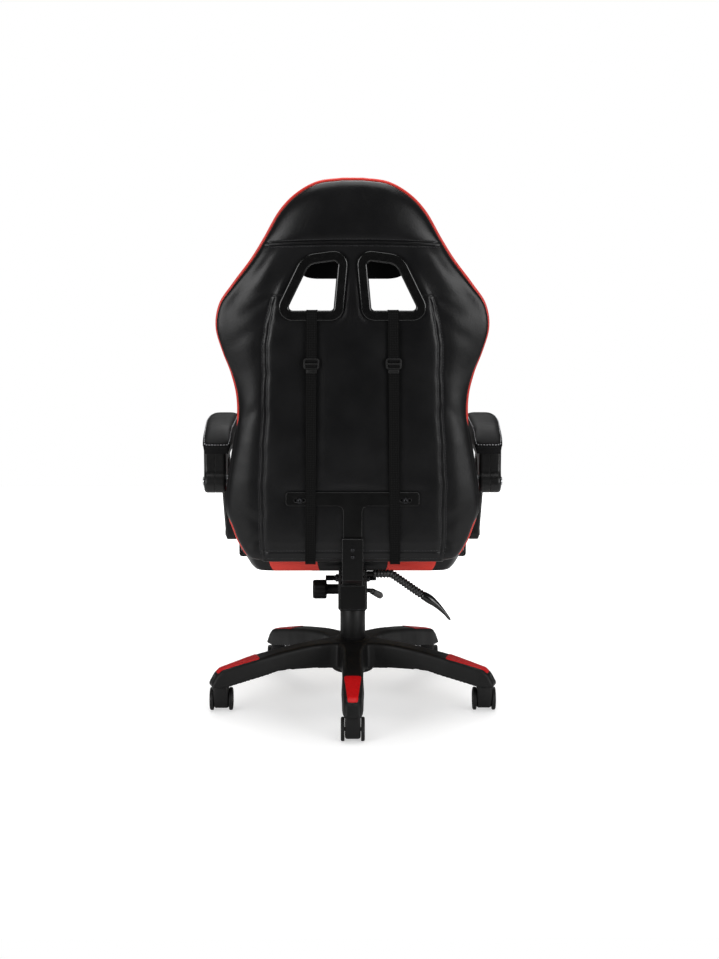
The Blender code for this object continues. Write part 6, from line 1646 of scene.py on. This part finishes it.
def leg_ring(radius):
    """Section of a leg, open below, that spreads where it meets the hub and closes round the caster."""
    half = float(looked_up(LEG_HALF_WIDTH, radius))
    half += 0.013 * exp(-((radius - 0.030) / 0.028) ** 2)
    top = leg_height(radius)
    under = float(looked_up(leg_under, radius))
    foot = half + 0.002
    edge = min(0.006, (top - under) / 2)
    roof = top - 0.012 if radius < 0.283 else under + 0.0006
    skirt = [(-foot, under), (-half, top - edge), (-half + edge * 0.3, top - edge * 0.3), (-half + edge, top)]
    wall = [(-half + 0.0050, roof), (-foot + 0.0045, under)]
    outer = skirt + [(-a, z) for a, z in reversed(skirt)]
    inner = [(-a, z) for a, z in reversed(wall)] + wall
    return [Vector((a, radius, z)) for a, z in outer + inner]


def insert_shape(grow, low, high):
    """Foot cover let into the top of a leg: tapered, with rounded ends, following the leg's slope."""
    inner = INSERT_INNER - grow
    outer = INSERT_OUTER + grow
    trims = {0.0: 0.004, 0.012: 0.0014, 0.988: 0.0014, 1.0: 0.004}
    lip = 0.0007
    rings = []
    for share in (0.0, 0.012, 0.04, 0.12, 0.25, 0.4, 0.55, 0.7, 0.78, 0.82, 0.87, 0.92, 0.96, 0.988, 1.0):
        radius = inner + (outer - inner) * share
        half = INSERT_WIDE + (INSERT_NARROW - INSERT_WIDE) * share + grow - trims.get(share, 0.0)
        top = leg_height(radius)
        section = [(-half, low), (half, low), (half, high - lip), (half - lip, high),
                   (half * 0.5, high + 0.0003), (-half * 0.5, high + 0.0003), (-half + lip, high),
                   (-half, high - lip)]
        rings.append([Vector((a, radius, top + z)) for a, z in section])
    return loft(rings)


def make_base():
    """Five-leg base fused into one moulding, with pockets for its foot covers and a bore for the column."""
    hub = lathe([(0.030, HUB_BOTTOM), (HUB_RADIUS - 0.004, HUB_BOTTOM), (HUB_RADIUS, HUB_BOTTOM + 0.006),
                 (HUB_RADIUS, HUB_TOP - 0.022), (HUB_RADIUS - 0.0015, HUB_TOP - 0.012),
                 (HUB_RADIUS - 0.007, HUB_TOP - 0.004), (HUB_RADIUS - 0.014, HUB_TOP), (0.0285, HUB_TOP)], 64)
    stations = [0.030, 0.045, 0.060, 0.080, 0.100, 0.125, 0.157, 0.180, 0.200, 0.220, 0.245, 0.272, 0.283,
                0.292, 0.300, 0.306, 0.312, 0.318, 0.3226]
    leg = loft([leg_ring(radius) for radius in stations])
    ribs = []
    for radius in (0.100, 0.150, 0.200, 0.245):
        under = float(looked_up(leg_under, radius))
        rib = rectangle(-0.019, 0.019, under + 0.004, leg_height(radius) - 0.008)
        ribs.append(loft([[Vector((a, radius + d, z)) for a, z in rib] for d in (-0.0018, 0.0018)]))
    boss = lathe([(0.0145, 0.0585), (0.0145, 0.088)], 32, Matrix.Translation((0.0, CASTER_CIRCLE, 0.0)))
    whole = join(leg, boss, *ribs)
    legs = [moved(whole, leg_turn(i)) for i in range(LEG_COUNT)]
    star = new_object("five_leg_base", new_mesh("five_leg_base", join(hub, *legs)))
    remesh = star.modifiers.new("one_moulding", "REMESH")
    remesh.mode = "VOXEL"
    remesh.voxel_size = BASE_VOXEL
    relax = star.modifiers.new("moulded_radii", "SMOOTH")
    relax.factor = 0.5
    relax.iterations = 7
    settle(star)
    pockets = [moved(insert_shape(GAP + 0.0004, -0.0026, 0.010), leg_turn(i)) for i in range(LEG_COUNT)]
    cut(star, join(*pockets, lathe([(COLUMN_BORE, 0.060), (COLUMN_BORE, 0.16)], 64)), 48)
    star.data.materials.clear()
    star.data.materials.append(nylon)
    carried(star, "base", ("star_base",))
    insert = insert_shape(0.0, -0.0020, 0.0006)
    for i in range(LEG_COUNT):
        piece(f"foot_cover_{i + 1}", moved(insert, leg_turn(i)), "base", "red_plastic", red_abs,
              stands_for=(f"leg_insert_{i + 1}",), crease=35)


# Casters
CASTER_TRAIL = 0.014
WHEEL_RADIUS = 0.025
CASTER_TOP = 0.0582
HOOD_HALF = 0.0163
STEM_RADIUS = 0.0055


def caster_hood():
    """Twin-wheel caster body: a hood between the wheels, rounded all over, with a collar round its stem."""
    rear = [(0.0125, 1.0), (0.0140, 0.90), (0.0140, 0.72), (0.0126, 0.48), (0.0085, 0.30), (0.0045, 0.19)]
    outline = [(y, share * CASTER_TOP) for y, share in rear]
    outline += arc((-CASTER_TRAIL, WHEEL_RADIUS), 0.0205, -60, -185, 16)
    outline += [(-0.0345, 0.62 * CASTER_TOP), (-0.031, 0.76 * CASTER_TOP), (-0.024, 0.89 * CASTER_TOP),
                (-0.016, 0.97 * CASTER_TOP), (-0.008, CASTER_TOP)]
    body = slab(outline[::-1], soft_edges(-HOOD_HALF, HOOD_HALF, 0.0052, 5), in_side_view)
    collar = lathe([(0.0105, CASTER_TOP - 0.004), (0.0105, CASTER_TOP + 0.0002)], 32)
    return join(body, collar)


def wheel_pair():
    """Two moulded wheels on one axle: a rounded tread, a raised ring and a dished cap on each outer face."""
    half = [(0.0040, 0.0), (0.0040, 0.0170), (WHEEL_RADIUS - 0.0012, 0.0170), (WHEEL_RADIUS, 0.0180),
            (WHEEL_RADIUS, 0.0222), (WHEEL_RADIUS - 0.0008, 0.0238), (WHEEL_RADIUS - 0.0026, 0.0248),
            (0.0200, 0.0248), (0.0190, 0.0240), (0.0182, 0.0226), (0.0150, 0.0222), (0.0142, 0.0228),
            (0.0080, 0.0232), (0.0070, 0.0240), (0.0020, 0.0242)]
    turn = along_x(0.0, 0.0, 0.0)
    return join(*(lathe([(r, side * h) for r, h in half], 56, turn) for side in (1, -1)))


def make_casters():
    """Casters on their circle, each with its hood, steel stem and pair of wheels."""
    hood = caster_hood()
    stem = lathe([(STEM_RADIUS, CASTER_TOP - 0.002), (STEM_RADIUS, CASTER_TOP + 0.021),
                  (STEM_RADIUS - 0.0015, CASTER_TOP + 0.024)], 24)
    wheels = wheel_pair()
    for i in range(LEG_COUNT):
        place = Matrix.Translation(leg_turn(i) @ Vector((0.0, CASTER_CIRCLE, 0.0)))
        spin = place @ Matrix.Translation((0.0, -CASTER_TRAIL, WHEEL_RADIUS))
        piece(f"caster_hood_{i + 1}", moved(hood, place), f"caster_{i + 1}", "black_nylon", wheel_nylon,
              stands_for=(f"caster_body_{i + 1}",), crease=45)
        piece(f"caster_stem_{i + 1}", moved(stem, place), f"caster_{i + 1}", "bright_steel", steel)
        piece(f"caster_wheel_pair_{i + 1}", moved(wheels, spin), f"wheels_{i + 1}", "black_nylon",
              wheel_nylon, stands_for=(f"caster_wheels_{i + 1}",), crease=30)


# Column and tilt mechanism
# Stages of the cover: node, body, radius, lower and upper end
COLUMN_STAGES = (
    ("cover_lower", "base", 0.0275, 0.1423, 0.2119),
    ("cover_middle", "cover_stage", 0.0253, 0.152, 0.2138),
    ("cover_upper", "carriage", 0.0231, 0.152, 0.2157),
)
COLUMN_WALL = 0.0013
# Recline pin and tilt rivet
PIN_RADIUS = 0.0060
EARS = 0.0283
PIN_LEFT_END = 0.0563
PIN_RIGHT_END = 0.0490
TILT_AXIS = (0.0, -0.070, 0.297)
RIVET_REACH = 0.0391
RIVET_HEAD = 0.003
# Tension knob: its axis (y, z), ends along x and flutes
KNOB_AXIS = (-0.045, 0.239)
KNOB_START = 0.0576
KNOB_END = 0.0886
KNOB_LOBES = 9
FLUTE_DEPTH = 0.0013
# Height lever, and recline handle with its ribbed sleeve
VALVE_TOP = 0.2793
LEVER_RADIUS = 0.0048
HANDLE_PLACE = (0.212, 0.335)
HANDLE_DROP = radians(35.4)
HANDLE_RADIUS = 0.0055
SLEEVE_RADIUS = 0.0068
RIB_HEIGHT = 0.0022
RIB_PITCH = 0.0066
# Tilt spring
SPRING_Y = 0.043
SPRING_RADIUS = 0.0105
SPRING_WIRE = 0.0019
SPRING_TURNS = 6


def make_column():
    """Three nested stages of the column cover, each with a rolled top rim."""
    for node, body, radius, low, high in COLUMN_STAGES:
        inner = radius - COLUMN_WALL
        profile = [(inner, low), (radius - 0.0003, low), (radius, low + 0.0004), (radius, high - 0.0008),
                   (radius - 0.0004, high), (inner + 0.0003, high), (inner, high - 0.0004)]
        piece(f"{node}_sleeve", lathe(profile, 72, closed=True), body, "black_nylon", nylon,
              stands_for=(node,), crease=50)


def hexagon(flats):
    """Hexagon of a given width across its flats."""
    return circle(flats / 2 / cos(pi / 6), 6)


def nut_shape(place, flats, thick, bore):
    """Hexagon nut with its chamfered corners, and a washer under it."""
    nut = slab(rounded(hexagon(flats), flats * 0.06, 2), soft_edges(0.0014, thick, 0.0006, 2),
               lambda a, b, h: place @ Vector((a, b, h)))
    washer = lathe([(bore, 0.0), (flats * 0.78, 0.0), (flats * 0.80, 0.0003), (flats * 0.80, 0.0012),
                    (bore, 0.0014)], 32, place)
    return join(nut, washer)


def screw_thread(radius, low, high, place, pitch=0.0015):
    """A threaded shank, its ridges as turned rings, with a chamfered end."""
    profile = []
    height = low
    while height < high - pitch:
        profile += [(radius, height), (radius, height + pitch * 0.15),
                    (radius - 0.0008, height + pitch * 0.6)]
        height += pitch
    profile += [(radius, height), (radius - 0.0012, high)]
    return lathe(profile, 32, place)


def make_hinge():
    """Recline pin: a plain shank with a nut and washer outside each ear, and threaded ends that stick out.
    The tilt pin is a rivet through the housing."""
    place = along_x(*RECLINE)
    other = place @ Matrix.Rotation(pi, 4, "X")
    shank = lathe([(PIN_RADIUS, -EARS), (PIN_RADIUS, EARS)], 40, place)
    left = screw_thread(PIN_RADIUS, EARS, PIN_LEFT_END, place)
    right = screw_thread(PIN_RADIUS, EARS, PIN_RIGHT_END, other)
    nuts = [nut_shape(turn @ Matrix.Translation((0.0, 0.0, EARS)), 0.0145, 0.0072, PIN_RADIUS + 0.0001)
            for turn in (place, other)]
    piece("recline_bolt", join(shank, left, right, *nuts), "seat", "black_painted_steel", black_bolt,
          stands_for=("recline_pin",), crease=35)
    head = [(0.0050, RIVET_REACH - RIVET_HEAD), (0.0080, RIVET_REACH - RIVET_HEAD),
            (0.0080, RIVET_REACH - 0.0006), (0.0074, RIVET_REACH), (0.0050, RIVET_REACH - 0.0003)]
    profile = [(radius, -reach) for radius, reach in reversed(head)] + head
    piece("tilt_rivet", lathe(profile, 32, along_x(*TILT_AXIS)), "carriage", "bright_steel", steel,
          stands_for=("tilt_pin",))


def make_knob():
    """Fluted tension knob, its plain sleeve and its screw, turning about X on the left of the housing."""
    stations = [(0.0050, -0.0185, 0), (0.0050, 0.0318, 0), (0.0105, 0.0318, 0), (0.0113, 0.0326, 0),
                (0.0113, 0.0560, 0), (0.0118, 0.0574, 0), (0.0170, KNOB_START, 0.5),
                (0.0200, KNOB_START + 0.0008, 1), (0.0212, KNOB_START + 0.0024, 1),
                (0.0215, KNOB_START + 0.0050, 1), (0.0215, KNOB_END - 0.0060, 1),
                (0.0211, KNOB_END - 0.0030, 1), (0.0200, KNOB_END - 0.0010, 1), (0.0180, KNOB_END, 0.7),
                (0.0120, KNOB_END, 0), (0.0112, KNOB_END - 0.0010, 0), (0.0030, KNOB_END - 0.0010, 0)]
    sides = KNOB_LOBES * 10
    rings = []
    for radius, x, fluted in stations:
        ring = []
        for k in range(sides):
            angle = 2 * pi * k / sides
            reach = radius - FLUTE_DEPTH * fluted * (0.5 - 0.5 * cos(KNOB_LOBES * angle)) ** 2
            ring.append(Vector((x, KNOB_AXIS[0] + reach * cos(angle), KNOB_AXIS[1] + reach * sin(angle))))
        rings.append(ring)
    piece("fluted_tension_knob", loft(rings), "knob", "black_nylon", nylon, stands_for=("tension_knob",),
          crease=35)


def make_lever():
    """Height lever: a bent rod out of the housing's side with a moulded paddle on its end."""
    wall_y, wall_z = -0.026, 0.2405
    corners = [(0.0, 0.0, VALVE_TOP), (-0.0202, wall_y, VALVE_TOP), (-0.0202, wall_y, wall_z),
               (-0.0395, wall_y, wall_z), (-0.0635, -0.140, 0.200)]
    rod = sweep(bent(corners, 0.004, 5), lambda i: circle(LEVER_RADIUS, 20))
    end = Vector(corners[-1])
    run = (end - Vector(corners[-2])).normalized()
    stations = ((0.108, 0.0050), (0.106, 0.0064), (0.100, 0.0070), (0.080, 0.0071), (0.050, 0.0075),
                (0.020, 0.0080), (0.008, 0.0079), (0.003, 0.0070), (0.0006, 0.0052))
    paddle = sweep([end - run * station[0] for station in stations], lambda i: circle(stations[i][1], 24))
    piece("height_lever_rod", join(rod, paddle), "height_lever", "black_nylon", nylon,
          stands_for=("lift_lever",), crease=50)


def make_handle():
    """Recline handle: a bent rod, a ribbed soft sleeve on its slope and a curved glossy horn on its end."""
    y, z = HANDLE_PLACE
    slope = Vector((-cos(HANDLE_DROP), 0.0, -sin(HANDLE_DROP)))
    elbow = Vector((-0.080, y, z))
    horn_start = elbow + slope * 0.0768
    path = bent([(-0.0224, y, z), elbow, horn_start + slope * 0.004], 0.016, 10)
    piece("handle_bent_rod", sweep(path, lambda i: circle(HANDLE_RADIUS, 24)), "recline_handle",
          "black_painted_steel", paint, stands_for=("handle_rod",), crease=50)

    grip = bent([(-0.0420, y, z), elbow, elbow + slope * 0.0765], 0.020, 24)
    grip = evenly(np.array([tuple(p) for p in grip]), 150)
    step = np.linalg.norm(grip[-1] - grip[0]) * 1.02 / len(grip)

    def ribbed(i):
        rib = 0.5 - 0.5 * cos(2 * pi * i * step / RIB_PITCH)
        return circle(SLEEVE_RADIUS + RIB_HEIGHT * rib ** 0.6, 28)

    piece("handle_ribbed_sleeve", sweep(grip, ribbed), "recline_handle", "black_rubber", rubber,
          stands_for=("handle_sleeve",), crease=60)

    knee = horn_start + slope * 0.036 + Vector((-0.004, 0.0, 0.004))
    tip = Vector((-0.2025, y, 0.236))
    curve = []
    radii = []
    for t in np.linspace(0.0, 1.0, 29).tolist():
        curve.append(horn_start * (1 - t) ** 2 + knee * (2 * t * (1 - t)) + tip * t ** 2)
        swell = 0.0082 + 0.0012 * sin(pi * min(1.0, t / 0.45))
        radius = swell + (0.0028 - swell) * float(ease(0.25, 1.0, t))
        radii.append(radius * min(1.0, 0.72 + 12 * t) * min(1.0, 0.55 + 10 * (1 - t)))
    piece("handle_horn", sweep(curve, lambda i: circle(radii[i], 28)), "recline_handle",
          "gloss_black_plastic", gloss, stands_for=("handle_tip",), crease=50)


def make_tilt_spring():
    """Coil between the housing's floor and the seat plate, made at the length of the CAD spring."""
    low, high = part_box("tilt_spring")
    bottom = low[2] + SPRING_WIRE
    rise = high[2] - SPRING_WIRE - bottom
    steps = 24 * SPRING_TURNS
    ground_ends = ((0.0, 0.0), (0.12, 0.07), (0.88, 0.93), (1.0, 1.0))
    path = []
    for i in range(steps + 1):
        angle = 2 * pi * SPRING_TURNS * i / steps
        height = bottom + rise * float(looked_up(ground_ends, i / steps))
        path.append((SPRING_RADIUS * cos(angle), SPRING_Y + SPRING_RADIUS * sin(angle), height))
    spring = piece("tilt_coil_spring", sweep(path, lambda i: circle(SPRING_WIRE, 12)), "carriage",
                   "bright_steel", steel, stands_for=("tilt_spring",), crease=60)
    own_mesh(spring)


def socket_screw(place, radius, tall):
    """Button-head screw with a sunk socket, on a washer."""
    profile = [(radius * 1.45, 0.0), (radius * 1.45, 0.0008), (radius * 1.02, 0.0010), (radius, 0.0012),
               (radius * 0.92, tall * 0.62), (radius * 0.74, tall * 0.9), (radius * 0.52, tall),
               (radius * 0.50, tall * 0.45), (radius * 0.05, tall * 0.45)]
    return lathe(profile, 36, place)


def make_fasteners():
    """Screws through the T-bar's slots, through the bracket, and up into the seat from its plate and arms."""
    facing = Matrix.Rotation(-pi / 2, 4, "X")
    bar = BACK_REAR + GAP + BAR_THICKNESS
    plate = bar + GAP + BRACKET_THICKNESS
    slots = [in_back(side * SLOT_X, bar, SLOT_HEIGHT) for side in (1, -1)]
    screws = [socket_screw(slot @ facing, 0.0046, 0.0034) for slot in slots]
    screws += [socket_screw(in_back(0.0, plate, s) @ facing, 0.0030, 0.0022) for s in BRACKET_SCREWS]
    piece("back_screws", moved(join(*screws), BACK), "backrest", "bright_steel", black_bolt, crease=35)
    down = Matrix.Rotation(pi, 4, "X")
    spots = [(x, y, 0.3217) for x in (-0.078, 0.078) for y in (-0.095, 0.110)]
    spots += [(x, -0.030, 0.3215) for x in (-0.125, 0.125)]
    under = [socket_screw(Matrix.Translation(spot) @ down, 0.0052, 0.0040) for spot in spots]
    piece("seat_plate_screws", join(*under), "seat", "bright_steel", steel, crease=35)


# Studio
WHITE = (1.0, 1.0, 1.0, 1.0)
DIM = (0.30, 0.30, 0.30, 1.0)
# Soft lamps: name, place, size and power
LAMPS = (
    ("left_softbox", (2.1, 2.2, 0.90), 1.6, 44.0),
    ("right_softbox", (-2.1, 2.2, 0.90), 1.6, 44.0),
    ("top_softbox", (0.0, 0.2, 3.0), 2.2, 52.0),
    ("front_softbox", (0.0, -2.4, 3.1), 1.8, 34.0),
)
LAMPS_AIM = Vector((0.0, 0.1, 0.6))


def make_studio():
    """Pale floor, a white surround and large soft lamps."""
    floor_finish, tree, place = blank("pale_studio_paper")
    tone = mixed(tree, noise(tree, place, 400, 2.0), "#d2d2d2", "#d8d8d8")
    away = add(tree, "VectorMath", {0: place}, operation="LENGTH").outputs["Value"]
    clear = ranged(tree, away, (0.50, 1.0), (0.30, 1.0))
    seen = times(tree, add(tree, "LightPath").outputs["Is Camera Ray"], clear)
    shader = add(tree, "BsdfPrincipled", {"Base Color": tone, "Roughness": 0.9, "Specular IOR Level": 0.1,
                                          "Emission Color": WHITE, "Emission Strength": seen})
    add(tree, "OutputMaterial", {"Surface": shader.outputs[0]})
    floor = new_object("studio_floor", new_mesh("studio_floor", (
        [(-1.8, -2.6, 0.0), (1.8, -2.6, 0.0), (1.8, 1.2, 0.0), (-1.8, 1.2, 0.0)], [(0, 1, 2, 3)])))
    floor.data.materials.append(floor_finish)

    world = bpy.data.worlds.new("studio_surround")
    bpy.context.scene.world = world
    world.use_nodes = True
    tree = world.node_tree
    tree.nodes.clear()
    paths = add(tree, "LightPath")
    mirror = add(tree, "Math", {0: paths.outputs["Is Glossy Ray"], 1: paths.outputs["Is Transmission Ray"]},
                 operation="MAXIMUM").outputs[0]
    heading = add(tree, "SeparateXYZ", {"Vector": add(tree, "TexCoord").outputs["Generated"]}).outputs["Y"]
    backdrop = ranged(tree, heading, (0.05, 0.14), (0.3, -0.4))
    around = add(tree, "MixRGB", {"Fac": mirror, "Color1": DIM, "Color2": backdrop}).outputs[0]
    shown = add(tree, "MixRGB", {"Fac": paths.outputs["Is Camera Ray"], "Color1": around, "Color2": WHITE})
    light = add(tree, "Background", {"Color": shown.outputs[0], "Strength": 1.0})
    add(tree, "OutputWorld", {"Surface": light.outputs[0]})

    for name, spot, size, power in LAMPS:
        lamp = bpy.data.lights.new(name, "AREA")
        lamp.shape = "SQUARE"
        lamp.size = size
        lamp.energy = power
        box = bpy.data.objects.new(name, lamp)
        box.location = spot
        box.rotation_euler = (LAMPS_AIM - Vector(spot)).to_track_quat("-Z", "Y").to_euler()
        bpy.context.scene.collection.objects.link(box)


make_studio()
make_back_cover()
make_piping()
make_back_cushion()
make_bezels()
make_straps()
make_pillow("head_rest_pillow", "head_pillow", 0.116, 0.619, 0.757, 0.058, 0.0006)
make_pillow("lumbar_rest_pillow", "lumbar_pillow", 0.132, 0.130, 0.310, 0.072, 0.0025)
make_seat_cushion()
for side, name in SIDES:
    make_arm(side, name)
    make_arm_pad(side, name)
    make_link(side, name)
make_base()
make_casters()
make_column()
make_hinge()
make_knob()
make_lever()
make_handle()
make_tilt_spring()
make_fasteners()

dress("t_bar", paint, 0.0013)
for node in ("back_bracket", "tilt_housing", "seat_plate", "arm_bracket_left", "arm_bracket_right"):
    dress(node, paint)
for node in ("back_frame", "gas_tube"):
    dress(node, paint, 0.0)
for node in ("gas_column", "piston_rod", "retaining_clip", "thrust_bearing"):
    dress(node, steel, 0.0)
dress("guide_bush", nylon, 0.0)
dress("seat_pan", plywood, 0.0006)

scene = bpy.context.scene
scene.view_settings.view_transform = "Standard"
